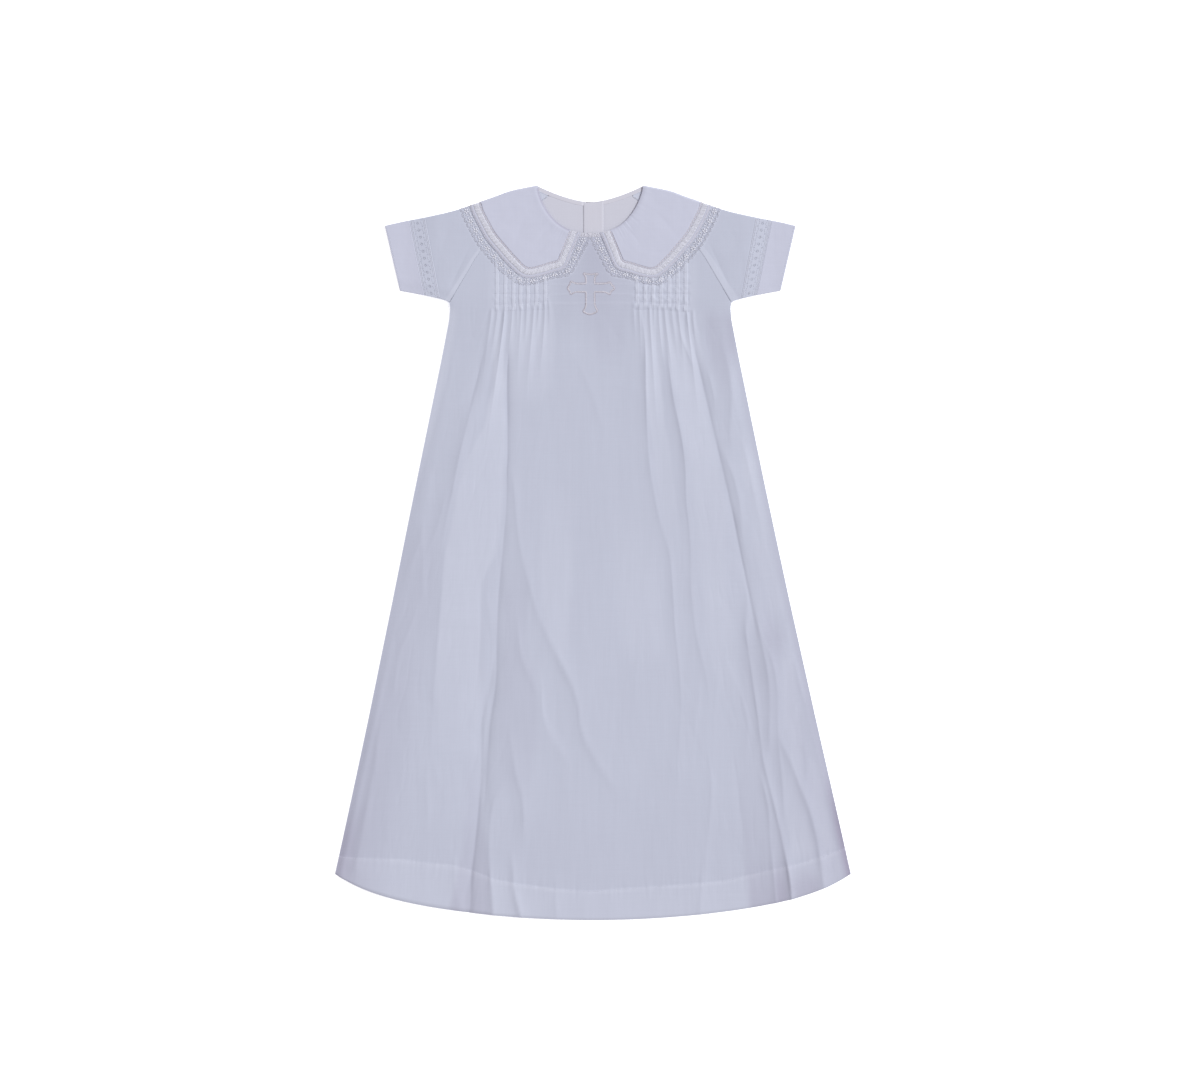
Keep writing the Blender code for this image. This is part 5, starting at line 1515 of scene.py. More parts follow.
def domes(centres, normals, along, long, wide, high):
    """Small filled pads of satin stitch: verts and faces. along is each pad's long direction."""
    ring = np.arange(10) / 10 * 2 * math.pi
    across = np.cross(normals, along)
    verts, faces = [], []
    for k, (c, n, a, b, l, w) in enumerate(zip(centres, normals, along, across, long, wide)):
        base = len(verts)
        for q, hgt in ((1.0, -0.35), (0.86, 0.45), (0.42, 0.95)):
            for t in ring:
                verts.append(c + a * (l * q * math.cos(t)) + b * (w * q * math.sin(t)) + n * (high * hgt))
        verts.append(c + n * high)
        for r in range(2):
            for s in range(10):
                s2 = (s + 1) % 10
                faces.append((base + r * 10 + s, base + r * 10 + s2, base + (r + 1) * 10 + s2, base + (r + 1) * 10 + s))
        for s in range(10):
            faces.append((base + 20 + s, base + 20 + (s + 1) % 10, base + 30))
        faces.append(tuple(base + s for s in range(9, -1, -1)))
    return verts, faces


def join_into(first, others):
    """Joins objects into the first one, in mesh code, keeping materials."""
    bpy.ops.object.select_all(action="DESELECT")
    for o in [first, *others]:
        o.select_set(True)
    bpy.context.view_layer.objects.active = first
    bpy.ops.object.join()
    return first


def thread_tubes(name, strip, paths, radius, material, sides=3, flat=1.0):
    p, n = map_paths(strip, paths)
    obj = tubes(name, p, radius, sides=sides, flat=flat, ups=n)
    obj.data.materials.append(material)
    return obj


def build_lace(strip, name):
    """Bobbin-style edging: footing, net, a five-petalled flower and leaves to each repeat, and a scalloped edge with
    picots."""
    count = int(round(strip.long / 9.6))
    P = strip.long / count
    u_all = np.arange(0, strip.long + 0.01, 0.9)
    base = BAND + 0.35
    paths, radius = [], []
    for v, r in ((base, 0.2), (base + 1.25, 0.15)):
        paths.append(np.stack([u_all, np.full_like(u_all, v), np.full_like(u_all, 0.0)], 1))
        radius.append(r)
    zig = np.arange(0, strip.long, P / 16)
    paths.append(np.stack([zig, base + 1.25 * (np.arange(len(zig)) % 2), np.full_like(zig, 0.05)], 1))
    radius.append(0.09)
    # ground net of diamonds
    rows, net_low, net_high = 5, base + 1.25, BAND + 9.3
    tall = (net_high - net_low) / rows
    half = P / 14
    for m in range(rows):
        u = np.arange(0, strip.long, half)
        up = (np.arange(len(u)) + m) % 2
        paths.append(np.stack([u, net_low + tall * (m + up), 0.04 * up], 1))
        radius.append(0.07)
    # edge: two gimps following the scallops
    u = np.arange(0, strip.long, P / 28)
    phase = (u / (P / 2)) % 1.0
    scallop = np.sin(math.pi * phase) ** 0.75
    for off, r, h in ((0.0, 0.2, 0.0), (-0.95, 0.1, 0.0)):
        paths.append(np.stack([u, BAND + 9.6 + 1.35 * scallop + off, np.full_like(u, h)], 1))
        radius.append(r)
    long_obj = thread_tubes(name, strip, paths, radius, LACE_THREAD)
    header = thread_tubes(name + "_header", strip, [np.stack([u_all, np.full_like(u_all, base + 0.45), np.full_like(u_all, -0.06)], 1)],
                          0.85, BATISTE_DOUBLE, sides=6, flat=0.12)
    short, r_short = [], []
    for k in range(count * 2):
        u0 = k * P / 2
        # bars between net and edge
        for s in np.linspace(0.08, 0.92, 7):
            uu = u0 + s * P / 2
            top = BAND + 9.6 + 1.35 * math.sin(math.pi * s) ** 0.75
            short.append(np.array([(uu, net_high - 0.4, 0), (uu, (net_high + top) / 2, 0.04), (uu, top, 0)]))
            r_short.append(0.075)
        for s in (0.22, 0.5, 0.78):
            uu = u0 + s * P / 2
            top = BAND + 9.75 + 1.35 * math.sin(math.pi * s) ** 0.75
            t = np.linspace(-0.5, 1.5, 6) * math.pi
            short.append(np.stack([uu + 0.3 * np.cos(t), top + 0.34 + 0.32 * np.sin(t), np.full(6, 0.03)], 1))
            r_short.append(0.075)
    for k in range(count):
        u0 = (k + 0.5) * P
        # stem line waving through the repeat
        t = np.linspace(-0.5, 0.5, 13)
        short.append(np.stack([u0 + t * P, BAND + 4.9 + 1.5 * np.cos(t * 2 * math.pi) * -1, np.full(13, 0.12)], 1))
        r_short.append(0.13)
        t = np.linspace(0, 2 * math.pi, 9)
        short.append(np.stack([u0 + 0.5 * np.cos(t), BAND + 6.2 + 0.5 * np.sin(t), np.full(9, 0.16)], 1))
        r_short.append(0.11)
    p, n = map_paths(strip, short)
    short_obj = tubes(name + "_short", p, r_short, ups=n)
    short_obj.data.materials.append(LACE_THREAD)
    # filled petals and leaves
    uv, direction, sizes = [], [], []
    for k in range(count):
        u0 = (k + 0.5) * P
        for q in range(5):
            a = q / 5 * 2 * math.pi + math.pi / 2
            uv.append((u0 + 1.5 * math.cos(a), BAND + 6.1 + 1.5 * math.sin(a)))
            direction.append((math.cos(a), math.sin(a)))
            sizes.append((0.98, 0.72))
        for sgn in (-1, 1):
            uv.append((u0 + sgn * 3.4, BAND + 6.9))
            direction.append((0.6, sgn * -0.8))
            sizes.append((1.15, 0.5))
            uv.append((u0 + sgn * 3.7, BAND + 3.6))
            direction.append((0.5, sgn * 0.86))
            sizes.append((1.1, 0.48))
        uv.append((u0, BAND + 2.9))
        direction.append((0, 1))
        sizes.append((0.62, 0.5))
    uv, direction, sizes = np.array(uv), np.array(direction), np.array(sizes)
    c, n = strip(uv[:, 0], uv[:, 1], np.full(len(uv), 0.06))
    d, _ = strip(uv[:, 0] + 0.2 * direction[:, 0], uv[:, 1] + 0.2 * direction[:, 1], np.full(len(uv), 0.06))
    along = unit(d - c)
    along = unit(along - n * (along * n).sum(-1, keepdims=True))
    verts, faces = domes(c, n, along, sizes[:, 0], sizes[:, 1], 0.09)
    pads = add_mesh(name + "_pads", verts, faces)
    pads.data.materials.append(LACE_THREAD)
    return join_into(long_obj, [header, short_obj, pads])


def build_band(strip, name):
    """Hemstitched strip: a folded edge on both sides, bundles of threads slanting between them, and a line of stepped
    stitches where it is sewn to the collar."""
    u = np.arange(0.2, strip.long - 0.1, 1.0)
    edges = []
    for v in (0.75, BAND - 0.8):
        edges.append(np.stack([u, v + 0.06 * np.sin(u * 1.9), np.full_like(u, 0.0)], 1))
    # its seam allowance, under the collar's edge
    edges.append(np.stack([u, np.full_like(u, -0.7), np.full_like(u, -0.14)], 1))
    obj = thread_tubes(name, strip, edges, 1.18, BATISTE_DOUBLE, sides=8, flat=0.2)
    count = int(round(strip.long / 6.3))
    P = strip.long / count
    rungs, radius = [], []
    for k in range(count):
        for q in range(10):
            s = (k + 0.05 + q * 0.0985) * P
            x = (q - 4.5) / 4.5
            arch = 0.08 * (1 - x * x)
            lean = 1.7
            wig = 0.12 * math.sin(k * 2.3 + q * 5.1)
            rungs.append(np.array([(s + wig, 1.3, 0.02), (s + lean * 0.25, 3.0, 0.1 + arch), (s + lean * 0.75 - wig, 6.2, 0.1 + arch),
                                   (s + lean, BAND - 1.4, 0.02)]))
            radius.append(0.25)
    rungs = [r for r in rungs if r[0, 0] > 0.2 and r[-1, 0] < strip.long - 0.2]
    rung_obj = thread_tubes(name + "_rungs", strip, rungs, 0.34, LADDER_THREAD, sides=4, flat=0.36)
    # stepped stitches
    steps = []
    for k in range(int(strip.long / 3.5)):
        s = k * 3.5
        steps += [(s, 0.15, 0.26), (s + 1.6, 0.3, 0.32), (s + 1.8, 1.15, 0.3), (s + 3.3, 1.25, 0.3)]
    steps = np.array([s for s in steps if 0.2 < s[0] < strip.long - 0.2])
    rose = thread_tubes(name + "_steps", strip, [steps], 0.26, ROSE_THREAD, sides=4)
    whip = []
    for s in np.arange(0.6, strip.long - 0.6, 0.62):
        whip.append(np.array([(s, BAND - 0.4, 0.06), (s + 0.1, BAND + 0.1, 0.14), (s + 0.2, BAND + 0.62, 0.06)]))
    whip = thread_tubes(name + "_whip", strip, whip, 0.2, ROSE_THREAD)
    return join_into(obj, [rung_obj, rose, whip])


COLLAR = {}
for side, name in ((-1, "left"), (1, "right")):
    strip = Strip(side)
    COLLAR[name] = (
        build_collar_cloth(side, f"gown_collar_{name}"),
        build_band(strip, f"gown_band_{name}"),
        build_lace(strip, f"gown_lace_{name}"),
    )


def lighten_under(obj, line, reach, amount):
    """Painted light: the cloth under the strips and the lace is painted lighter, standing in for light that comes back
    from their threads.
    """
    mesh = obj.data
    co = np.empty(len(mesh.vertices) * 3, np.float32)
    mesh.vertices.foreach_get("co", co)
    co = co.reshape(-1, 3)[:, :2] / MM - np.array([0.0, LIE_Y])
    double = np.empty(len(co), np.float32)
    mesh.attributes["double"].data.foreach_get("value", double)
    low, high = line[:, :2].min(0) - reach - 2, line[:, :2].max(0) + reach + 2
    some = np.nonzero(((co > low) & (co < high)).all(1))[0]
    near = ((co[some, None] - line[None, :, :2]) ** 2).sum(-1).min(1) ** 0.5
    double[some] = np.maximum(double[some], amount * (1 - ramp(reach - 1.5, reach + 1.5, near)))
    set_attribute(obj, "double", double)


for side, name in ((-1, "left"), (1, "right")):
    lines = Strip(side).lines
    lines = lines[: int(np.argmax(lines[:, 2, 2] < 2.0)) or len(lines)]
    line = np.vstack([lerp(lines[:, 1], lines[:, 2], share) for share in (0.1, 0.3, 0.5, 0.7, 0.85)])
    lighten_under(front, line, 2.0, 1.0)
    lighten_under(SLEEVES[name]["sleeve"][0], line, 2.0, 1.0)
    for piece, share in (("cuff", 0.6), ("insertion", 0.45)):
        obj = SLEEVES[name][piece][0]
        set_attribute(obj, "double", np.full(len(obj.data.vertices), share))


# ---------------------------------------------------------------- neck binding, placket, buttons
def build_binding():
    """A bias strip folded over the neck edge, from the slot's left side round by the front to its right side."""
    half = [("front", 0.0, a) for a in np.linspace(0, 86, 44)]
    half += [("fold", t, 90.0) for t in np.linspace(0, 180, 9)]
    half += [("back", 180.0, a) for a in np.linspace(82, 10, 34)]

    def end_angle(x):
        return math.degrees(math.asin(abs(x - YOKE_X) / SHOULDER[0]))

    path = [(-1, "back", 180.0, end_angle(OVER_STRIP[0] - 0.5))] + [(-1, *s) for s in half[::-1]]
    path += [(1, *s) for s in half[1:]]
    path += [(1, "back", 180.0, 4.0), (-1, "back", 180.0, end_angle(OVER_STRIP[0] - 0.1))]
    offs = np.array([0.0, 0.25, 0.6, 1.2, 2.0, 2.8, 3.4, 3.8, 4.0])
    bulge = 0.12 * np.sin(np.clip(offs / 4, 0, 1) * math.pi) ** 0.6
    grid = []
    for k, (side, at, turn, angle) in enumerate(path):
        is_back = at == "back" or (at == "fold" and turn > 90)
        flat = np.array([neck_off(90 if at == "fold" else angle, o, is_back and at == "back") for o in offs])
        x = flat[:, 0]
        if at == "fold":
            flat = flat - FOLD_OUT * 0.75
            up = front_base(YOKE_X + side * flat[:, 0], flat[:, 1]) + bulge * 0.4
            down = back_base(YOKE_X + side * flat[:, 0], flat[:, 1]) - bulge * 0.4
            r, mid = (up - down) / 2, (up + down) / 2
            a = math.radians(turn)
            p = flat + FOLD_OUT * (r * math.sin(a))[:, None]
            z = mid + r * math.cos(a)
        else:
            p = flat
            X = YOKE_X + side * p[:, 0]
            z = (back_base(X, p[:, 1]) if is_back else front_base(X, p[:, 1])) + bulge * 0.5
        grid.append(np.stack([YOKE_X + side * p[:, 0], p[:, 1], z], 1))
    verts = np.vstack(grid)
    obj = add_mesh("gown_binding", verts, grid_faces(len(grid) - 1, len(offs) - 1, flip=True),
                   attributes={"double": np.full(len(verts), 1.0), "shade": np.zeros(len(verts))})
    obj.data.materials.append(INSIDE)
    wall(obj, 0.5)
    return obj


def build_strip(name, span, foot, head, z, thick):
    xs = np.linspace(span[0], span[1], 15)
    grid = []
    for x in xs:
        top = float(neck_back_y(x - YOKE_X)) - head
        ys = np.linspace(foot, top, 50)
        edge = np.minimum(x - span[0], span[1] - x)
        soft = 0.1 * perlin(np.full(50, x / 6.0), ys / 14.0, 61)
        grid.append(np.stack([np.full(50, x), ys, np.full(50, z) + soft - 0.1 * (1 - ramp(0, 1.2, edge))], 1))
    verts = np.vstack(grid)
    obj = add_mesh(name, verts, grid_faces(len(xs) - 1, 49), attributes={"double": np.full(len(verts), 0.9),
                                                                        "shade": np.zeros(len(verts))})
    obj.data.materials.append(INSIDE)
    wall(obj, thick)
    return obj


binding = build_binding()
BACK_YOKE = 0.22 + 1.72
placket_over = build_strip("gown_placket_over", (-7.2, 9.5), PLACKET_LOW + SEAM, BINDING + 2 * SEAM, BACK_YOKE - 0.04, 0.32)
placket_under = build_strip("gown_placket_under", (-9.4, 10.1), PLACKET_LOW - 3.5, 0.6, BACK_YOKE + 0.24, 0.24)


def button_material():
    made, tree, shader = nodes_of("button_look")
    where = tree.nodes.new("ShaderNodeTexCoord").outputs["Object"]
    cloud = noise_of(tree, where, 300, (1, 0.4, 1), 3.0, 0.6)
    link(tree, mix_colour(tree, cloud, (0.70, 0.70, 0.74), (0.82, 0.80, 0.82)), shader.inputs["Base Color"])
    shader.inputs["Roughness"].default_value = 0.22
    shader.inputs["Coat Weight"].default_value = 0.5
    shader.inputs["Coat Roughness"].default_value = 0.1
    return made


BUTTON = button_material()


def build_button(name, y):
    """Turned from a profile, drilled with four holes, and sewn on."""
    r, t = BUTTON_R, 1.35
    profile = [(0.0, t), (r * 0.78, t), (r * 0.9, t * 0.92), (r * 0.98, t * 0.7), (r, t * 0.5), (r * 0.97, t * 0.28),
               (r * 0.88, 0.06), (r * 0.78, 0.0), (r * 0.62, 0.03), (r * 0.5, 0.3), (r * 0.42, 0.42), (0.0, 0.45)]
    n = 40
    turn = np.arange(n) / n * 2 * math.pi
    verts = [(0, 0, profile[0][1])]
    for pr, pz in profile[1:-1]:
        verts += [(pr * math.cos(a), pr * math.sin(a), pz) for a in turn]
    verts.append((0, 0, profile[-1][1]))
    faces = [(0, 1 + k, 1 + (k + 1) % n) for k in range(n)]
    rings = len(profile) - 2
    for j in range(rings - 1):
        for k in range(n):
            a, b = 1 + j * n + k, 1 + j * n + (k + 1) % n
            faces.append((a, a + n, b + n, b))
    last = 1 + (rings - 1) * n
    faces += [(last + (k + 1) % n, last + k, len(verts) - 1) for k in range(n)]
    place = np.array([BUTTON_X, y, 0.0])
    obj = add_mesh(name, np.array(verts) + place, faces)
    obj.data.materials.append(BUTTON)
    cv, cf = [], []
    for hx, hy in ((-.95, -.95), (.95, -.95), (.95, .95), (-.95, .95)):
        b = len(cv)
        for z in (-1.0, 3.0):
            cv += [(hx + 0.52 * math.cos(a), hy + 0.52 * math.sin(a), z) for a in np.arange(16) / 16 * 2 * math.pi]
        cf += [(b + k, b + (k + 1) % 16, b + 16 + (k + 1) % 16, b + 16 + k) for k in range(16)]
        cf += [tuple(b + k for k in range(15, -1, -1)), tuple(b + 16 + k for k in range(16))]
    cutter = add_mesh("cutter", np.array(cv) + place, cf, smooth=False)
    cut = obj.modifiers.new("holes", "BOOLEAN")
    cut.object = cutter
    cut.solver = "EXACT"
    bpy.context.view_layer.update()
    done = bpy.data.meshes.new_from_object(obj.evaluated_get(bpy.context.evaluated_depsgraph_get()))
    obj.modifiers.clear()
    obj.data = done
    done.name = name
    done.shade_smooth()
    done.set_sharp_from_angle(angle=math.radians(40))
    bpy.data.objects.remove(cutter, do_unlink=True)
    paths = []
    for a, b in (((-.95, -.95), (.95, .95)), ((.95, -.95), (-.95, .95))):
        for off in (-0.16, 0.16):
            p = [(a[0] + off, a[1] - off * (1 if a[0] < 0 else -1), 1.5), (a[0] + off, a[1], 0.3), (a[0] * .5, a[1] * .5, 0.1),
                 (b[0] * .5, b[1] * .5, 0.1), (b[0] + off, b[1], 0.3), (b[0] + off, b[1], 1.5)]
            paths.append(np.array(p) + place)
    sewn = tubes(name + "_thread", paths, 0.13, sides=5)
    sewn.data.materials.append(SEWING_THREAD)
    return join_into(obj, [sewn])


BUTTON_OBJECTS = [(node, build_button(f"gown_{node}", y)) for node, y in BUTTONS]


# ---------------------------------------------------------------- embroidery and stitching
def polyline(points, step):
    return even(np.array(points, float), step)


def front_top(x, y, lift):
    return front_height(x, y) + THIN / 2 + lift


CROSS_AT = (-2.57, 252.5)
# The cross's outline from its centre, clockwise from the inner corner at its upper right.
CROSS = [
    (3.9, 3.8), (3.85, 7.2), (4.2, 9.8), (5.5, 12.1), (7.1, 13.3), (4.0, 12.9), (0.4, 12.5), (-3.2, 12.9), (-6.3, 13.6),
    (-5.0, 12.0), (-4.1, 9.8), (-3.9, 7.2), (-3.9, 3.8), (-9.5, 3.75), (-13.2, 3.9), (-16.2, 4.7), (-18.3, 5.6),
    (-19.2, 3.2), (-21.2, -0.6), (-19.4, -3.4), (-18.6, -5.6), (-16.2, -4.7), (-13.0, -3.9), (-9.0, -3.75), (-3.9, -3.8),
    (-3.9, -10.5), (-4.0, -16.6), (-4.8, -19.6), (-6.4, -22.4), (-3.4, -24.2), (0.0, -25.0), (3.4, -24.0), (6.5, -21.8),
    (4.9, -18.8), (4.1, -16.0), (3.9, -10.5), (3.9, -3.8), (9.0, -3.8), (13.2, -4.0), (16.4, -4.9), (18.5, -5.8),
    (19.6, -3.4), (22.8, -0.4), (20.0, 2.9), (18.8, 4.9), (16.2, 4.2), (13.0, 3.8), (9.0, 3.75), (3.9, 3.8),
]


def build_cross():
    corners = [0, 12, 24, 36, 48]
    arms = [curve(CROSS[a:b + 1], 0.3) for a, b in zip(corners, corners[1:])]
    line = even(np.vstack([arms[0]] + [arm[1:] for arm in arms[1:]]), 0.2)
    t = unit(np.gradient(line, axis=0))
    n = np.stack([-t[:, 1], t[:, 0]], 1)
    paths = []
    for k in range(len(line) - 1):
        wob = 0.03 * math.sin(k * 12.9898)
        c = line[k] + n[k] * wob
        for_half = 0.58 + 0.03 * math.sin(k * 78.233)
        a, b = c - n[k] * for_half, c + n[k] * for_half
        lean = t[k] * 0.08
        pts = []
        for s, h in ((0.0, -0.1), (0.2, 0.02), (0.5, 0.06), (0.8, 0.02), (1.0, -0.1)):
            q = lerp(a - lean, b + lean, s) + np.array(CROSS_AT)
            pts.append((q[0], q[1], h))
        paths.append(pts)
    p = np.array(paths)
    z = front_top(p[..., 0], p[..., 1], 0.0) + p[..., 2]
    p = np.stack([p[..., 0], p[..., 1], z], -1)
    obj = tubes("gown_cross", list(p), 0.19, sides=3)
    obj.data.materials.append(SATIN_THREAD)
    # a darker outline thread along the inside of the satin
    r = line - 0.98 * n
    apart = np.sqrt(((r[:, None] - line[None]) ** 2).sum(-1)).min(1)
    r = r[apart > 0.93]
    r = curve(r[::3], 0.5)
    r = np.vstack([r, r[:1]]) + np.array(CROSS_AT)
    r = np.stack([r[:, 0], r[:, 1], front_top(r[:, 0], r[:, 1], 0.03)], 1)
    rim = tubes("gown_cross_rim", [r], 0.2, sides=4, flat=0.7)
    rim.data.materials.append(MAUVE_THREAD)
    return join_into(obj, [rim])


def stitch_paths(line, long, gap, height, lift=0.0):
    """Running stitches along a line of (x, y); height gives the cloth's surface."""
    line = np.asarray(line, float)
    at = lengths(line)
    starts = np.arange(gap, at[-1] - long, long + gap)
    if not len(starts):
        return []
    s = starts[:, None] + np.array([0.0, 0.15, 0.5, 0.85, 1.0])[None] * long
    x, y = np.interp(s, at, line[:, 0]), np.interp(s, at, line[:, 1])
    dip = np.array([-0.1, 0.06, 0.09, 0.06, -0.1])[None]
    z = height(x, y) + dip + lift
    return list(np.stack([x, y, z], -1))


def sleeve_surface(side, layers, is_back=False):
    """Height of a sleeve piece's outside near a place, by its nearest grid point."""
    p, z, _ = layers[is_back]
    flat = p.reshape(-1, 2)
    zz = z.ravel()

    def height(x, y):
        shape = x.shape
        q = np.stack([(x.ravel() - YOKE_X) * side, y.ravel()], 1)
        out = np.empty(len(q))
        for k in range(0, len(q), 400):
            d = ((q[k:k + 400, None] - flat[None]) ** 2).sum(-1)
            near = np.argpartition(d, 4, axis=1)[:, :4]
            w = 1 / (np.take_along_axis(d, near, 1) + 1e-3)
            out[k:k + 400] = (zz[near] * w).sum(1) / w.sum(1)
        return out.reshape(shape) + (-0.16 if is_back else 0.16)

    return height


def build_stitching():
    paths = []
    # hem stitches, on the front
    x = np.linspace(-244, 244, 500)
    hem = np.stack([x, hem_line(x) - 0.9], 1)
    paths += stitch_paths(hem, 2.0, 0.5, lambda a, b: front_top(a, b, 0.0))
    # the tucks' own stitching
    for side in (-1, 1):
        for place, low in zip(TUCKS[side], TUCK_LOW[side]):
            y = np.linspace(low + 0.5, 300.0, 60)
            waver = 0.22 * perlin(y / 9.0, np.full_like(y, TUCKS[side].index(place) * 3.1), 5 + side)
            line = np.stack([YOKE_X + side * (place - 0.25 - waver), y], 1)
            paths += stitch_paths(line, 1.5, 0.55, lambda a, b: front_top(a, b, 0.02))
        for row, (y0, left, mid, right) in enumerate(CROSS_ROWS):
            if (left if side < 0 else right) < 0.3:
                continue
            a = np.linspace(TUCKS[side][0] - 1.5, TUCKS[side][-1] + TUCK_WIDE + 2.0, 120)
            low_y = np.interp(a, TUCKS[side], TUCK_LOW[side])
            bend = 0.55 * perlin(a / 13.0, np.full_like(a, row * 5.3), 31 + side) + (low_y - 234.5) * 0.35 * (row > 2)
            line = np.stack([YOKE_X + side * a, y0 + bend], 1)
            paths += stitch_paths(line, 1.7, 0.5, lambda p, q: front_top(p, q, 0.03))
    for row, (y0, left, mid, right) in enumerate(CROSS_ROWS):
        if mid < 0.3:
            continue
        c = np.linspace(-38, 38, 120)
        bend = 0.5 * perlin(c / 17.0, np.full_like(c, row * 2.7), 77)
        paths += stitch_paths(np.stack([YOKE_X + c, y0 + bend + 0.05], 1), 1.6, 0.6, lambda p, q: front_top(p, q, -0.02))
    obj = tubes("gown_stitching", paths, 0.11, sides=3)
    obj.data.materials.append(SEWING_THREAD)
    return obj


def build_sleeve_stitching(side, name):
    """Edges and motifs of the insertion, and the lines of stitches on the cuff."""
    pieces = SLEEVES[name]
    fine, fat = [], []
    for is_back in (False, True):
        for key, offs in (("cuff", (1.0, CUFF - 1.6)), ("insertion", ()), ("sleeve", ())):
            obj, layers = pieces[key]
            p = layers[is_back][0]
            surface = sleeve_surface(side, layers, is_back)
            for off in offs:
                share = off / CUFF
                line = np.array([read_line(p[k], share) for k in range(len(p))])
                xy = np.stack([YOKE_X + side * line[:, 0], line[:, 1]], 1)
                fine += stitch_paths(xy[1:-1], 1.9, 0.55, surface, 0.09 * (-1 if is_back else 1))
        obj, layers = pieces["insertion"]
        p = layers[is_back][0]
        surface = sleeve_surface(side, layers, is_back)
        up = -1 if is_back else 1

        def on(u, v, h):
            """u along the sleeve's width in mm, v from the sleeve's seam to the cuff's."""
            u, v = np.asarray(u, float), np.asarray(v, float)
            ends = np.stack([read_line(p[k], v.ravel()) for k in range(len(p))])  # (around, n, 2)
            at = lengths(p[:, p.shape[1] // 2])
            out = np.empty((u.size, 2))
            for k, s in enumerate(u.ravel()):
                out[k] = [np.interp(s, at, ends[:, k, 0]), np.interp(s, at, ends[:, k, 1])]
            X = YOKE_X + side * out[:, 0]
            z = surface(X, out[:, 1]) + up * h
            return np.stack([X, out[:, 1], z], -1)

        wide = lengths(p[:, p.shape[1] // 2])[-1]
        for v in (0.07, 0.15, 0.85, 0.93):
            u = np.linspace(0.4, wide - 0.4, 70)
            fat.append(on(u, np.full(70, v), 0.1))
        count = int(round(wide / 6.6))
        for k in range(count):
            u0 = (k + 0.5) * wide / count
            for q in range(5):
                a = q / 5 * 2 * math.pi + math.pi / 2
                u = u0 + 1.0 * math.cos(a) + 0.42 * np.cos(np.linspace(0, 2 * math.pi, 7))
                v = 0.5 + (1.0 * math.sin(a) + 0.42 * np.sin(np.linspace(0, 2 * math.pi, 7))) / INSERTION
                fine.append(on(u, v, 0.12))
            for dv in (-0.24, 0.24):
                t = np.linspace(0, 2 * math.pi, 8)
                fine.append(on(u0 + wide / count / 2 + 0.6 * np.cos(t), 0.5 + dv + 0.6 * np.sin(t) / INSERTION, 0.12))
                t = np.linspace(-1, 1, 7)
                fine.append(on(u0 + t * 1.7, 0.5 + dv * (0.72 + 0.28 * t * t), 0.1))
    obj = tubes(f"gown_sleeve_stitching_{name}", fine, 0.14, sides=3)
    obj.data.materials.append(SEWING_THREAD)
    edge = tubes(f"gown_insertion_edges_{name}", fat, 0.24, sides=4, flat=0.7)
    edge.data.materials.append(SEWING_THREAD)
    return join_into(obj, [edge])


cross_obj = build_cross()
stitching = build_stitching()
sleeve_threads = {name: build_sleeve_stitching(side, name) for side, name in ((-1, "left"), (1, "right"))}

# ---------------------------------------------------------------- camera, light, floor
camera = bpy.data.objects.new("camera", bpy.data.cameras.new("camera"))
bpy.context.scene.collection.objects.link(camera)
camera.data.sensor_width = 36
camera.data.lens = 85
camera.location = (0.0067, 0.0186, 0.003 + 85 / 36 * 1.1436)
camera.rotation_euler = (0, 0, 0)
camera.data.clip_end = 20
bpy.context.scene.camera = camera


def area(name, place, aim, size, power, colour=(1, 1, 1)):
    data = bpy.data.lights.new(name, "AREA")
    data.shape = "DISK"
    data.size = size
    data.energy = power
    data.color = colour
    obj = bpy.data.objects.new(name, data)
    bpy.context.scene.collection.objects.link(obj)
    from mathutils import Vector
    obj.location = place
    obj.rotation_euler = (Vector(aim) - Vector(place)).to_track_quat("-Z", "Y").to_euler()
    return obj


def sun(name, come_from, strength, angle):
    data = bpy.data.lights.new(name, "SUN")
    data.energy = strength
    data.angle = math.radians(angle)
    data.color = (0.985, 1.015, 0.99)
    obj = bpy.data.objects.new(name, data)
    bpy.context.scene.collection.objects.link(obj)
    from mathutils import Vector
    obj.rotation_euler = Vector(come_from).to_track_quat("Z", "Y").to_euler()
    return obj


sun("key", (0.85, 0.42, 1.1), 2.44, 26)
world = bpy.data.worlds.new("studio")
bpy.context.scene.world = world
world.use_nodes = True
world.node_tree.nodes["Background"].inputs[0].default_value = (1.02, 0.975, 1.02, 1)
world.node_tree.nodes["Background"].inputs[1].default_value = 0.46
bpy.context.scene.view_settings.view_transform = "Standard"

bpy.ops.mesh.primitive_plane_add(size=8, location=(0, 0, -0.0003))
floor = bpy.context.object
floor.name = "floor"
made, tree, shader = nodes_of("floor_look")
shader.inputs["Base Color"].default_value = (0.95, 0.95, 0.955, 1)
shader.inputs["Roughness"].default_value = 0.9
shader.inputs["Specular IOR Level"].default_value = 0.1
shader.inputs["Emission Color"].default_value = (1, 1, 1, 1)
shader.inputs["Emission Strength"].default_value = 0.5
floor.data.materials.append(made)
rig.stage(floor)

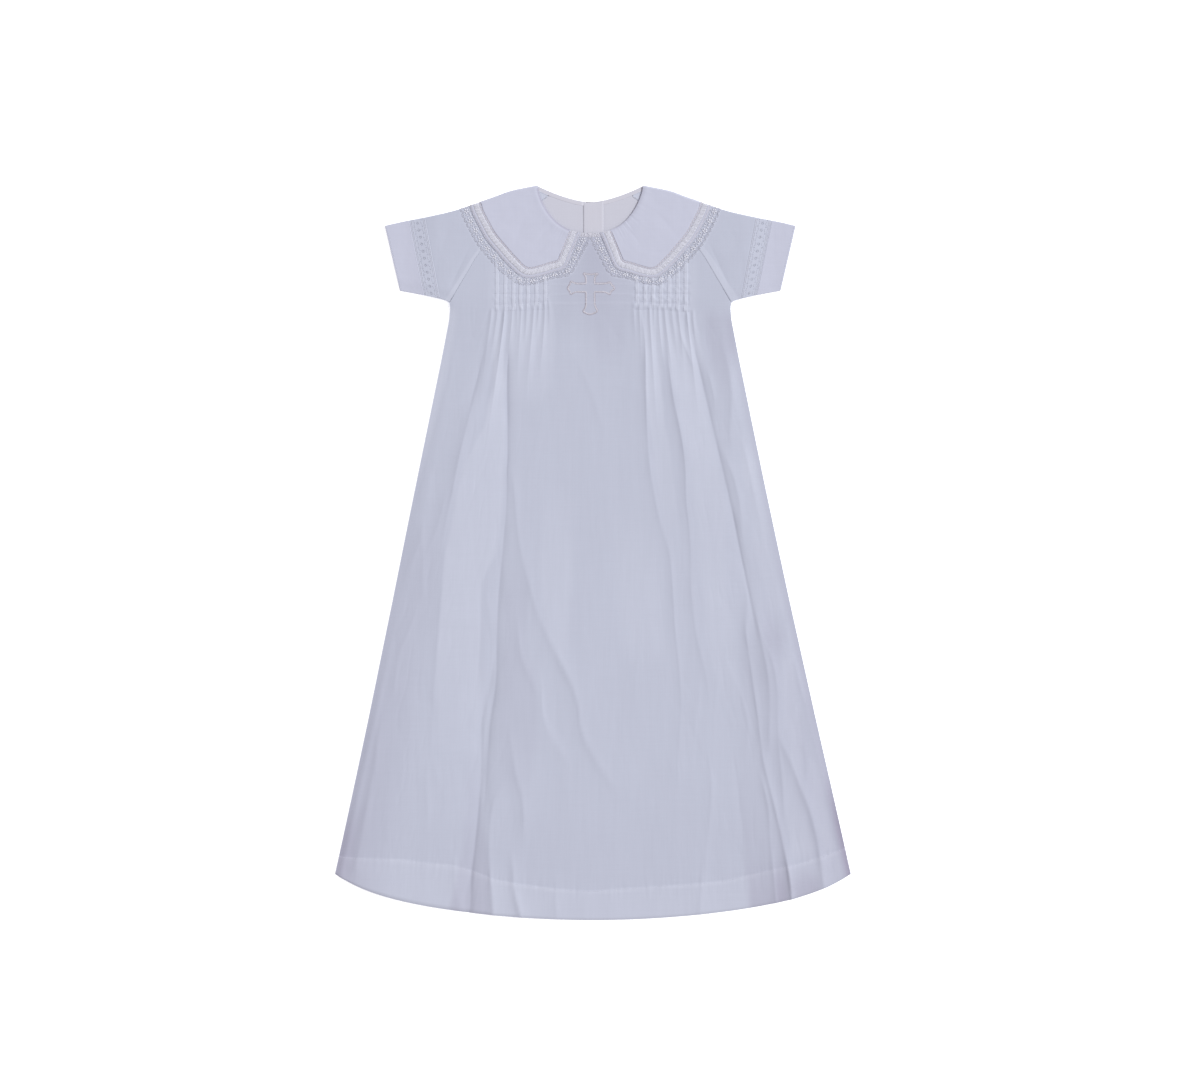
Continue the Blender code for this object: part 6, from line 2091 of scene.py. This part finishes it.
# ---------------------------------------------------------------- what stands for what
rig.replaces(front, "front")
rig.replaces(back, "back")
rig.replaces(binding, "neck_binding")
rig.replaces(placket_over, "placket_over")
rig.replaces(placket_under, "placket_under")
for node, obj in BUTTON_OBJECTS:
    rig.replaces(obj, node)
    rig.slot(obj, "button")
for obj in (front, back):
    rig.slot(obj, "batiste")
for obj in (binding, placket_over, placket_under):
    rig.slot(obj, "batiste_double")
for obj in (cross_obj, stitching, *sleeve_threads.values()):
    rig.slot(obj, "thread")
for name in ("left", "right"):
    cloth, band, lace = COLLAR[name]
    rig.replaces(cloth, f"collar_{name}")
    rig.replaces(band, f"collar_band_{name}")
    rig.replaces(lace, f"collar_lace_{name}")
    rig.slot(cloth, "batiste_double")
    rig.slot(band, "ladder_band")
    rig.slot(lace, "lace")
    pieces = SLEEVES[name]
    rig.replaces(pieces["sleeve"][0], f"sleeve_{name}")
    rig.replaces(pieces["insertion"][0], f"sleeve_insertion_{name}")
    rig.replaces(pieces["cuff"][0], f"cuff_{name}")
    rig.slot(pieces["sleeve"][0], "batiste")
    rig.slot(pieces["insertion"][0], "lace")
    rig.slot(pieces["cuff"][0], "batiste_double")
for obj in list(HOME.objects):
    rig.ride(obj, "root")


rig.sheet(front, flat=(0.56, 0.74), held="laid", rests_on=["gown_back"], area=0.27, with_pieces=[cross_obj, stitching, binding])
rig.sheet(back, flat=(0.50, 0.74), held="laid", rests_on=["floor"], area=0.25)
for name in ("left", "right"):
    cloth, band, lace = COLLAR[name]
    pieces = SLEEVES[name]
    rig.sheet(cloth, flat=(0.24, 0.10), held="laid", rests_on=["gown_front"], area=0.0098, with_pieces=[band, lace])
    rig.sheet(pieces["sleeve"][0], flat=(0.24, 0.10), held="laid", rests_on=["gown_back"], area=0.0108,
             with_pieces=[sleeve_threads[name]])
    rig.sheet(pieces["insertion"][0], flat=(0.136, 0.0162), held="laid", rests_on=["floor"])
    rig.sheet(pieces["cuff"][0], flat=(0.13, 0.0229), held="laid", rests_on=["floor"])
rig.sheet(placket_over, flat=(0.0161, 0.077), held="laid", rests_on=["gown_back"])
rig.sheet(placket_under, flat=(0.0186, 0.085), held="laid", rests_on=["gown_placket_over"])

bpy.context.view_layer.update()
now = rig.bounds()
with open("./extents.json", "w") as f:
    json.dump({"cad": [list(c) for c in cad_box], "visual": [list(c) for c in now]}, f)
for obj in HOME.objects:
    counted = obj.evaluated_get(bpy.context.evaluated_depsgraph_get()).to_mesh()
    counted.calc_loop_triangles()
    zs = [v.co.z * 1000 for v in counted.vertices]
    print("PIECE", obj.name, len(counted.loop_triangles), "z", round(min(zs), 2), round(max(zs), 2), "area", round(sum(p.area for p in counted.polygons), 4))
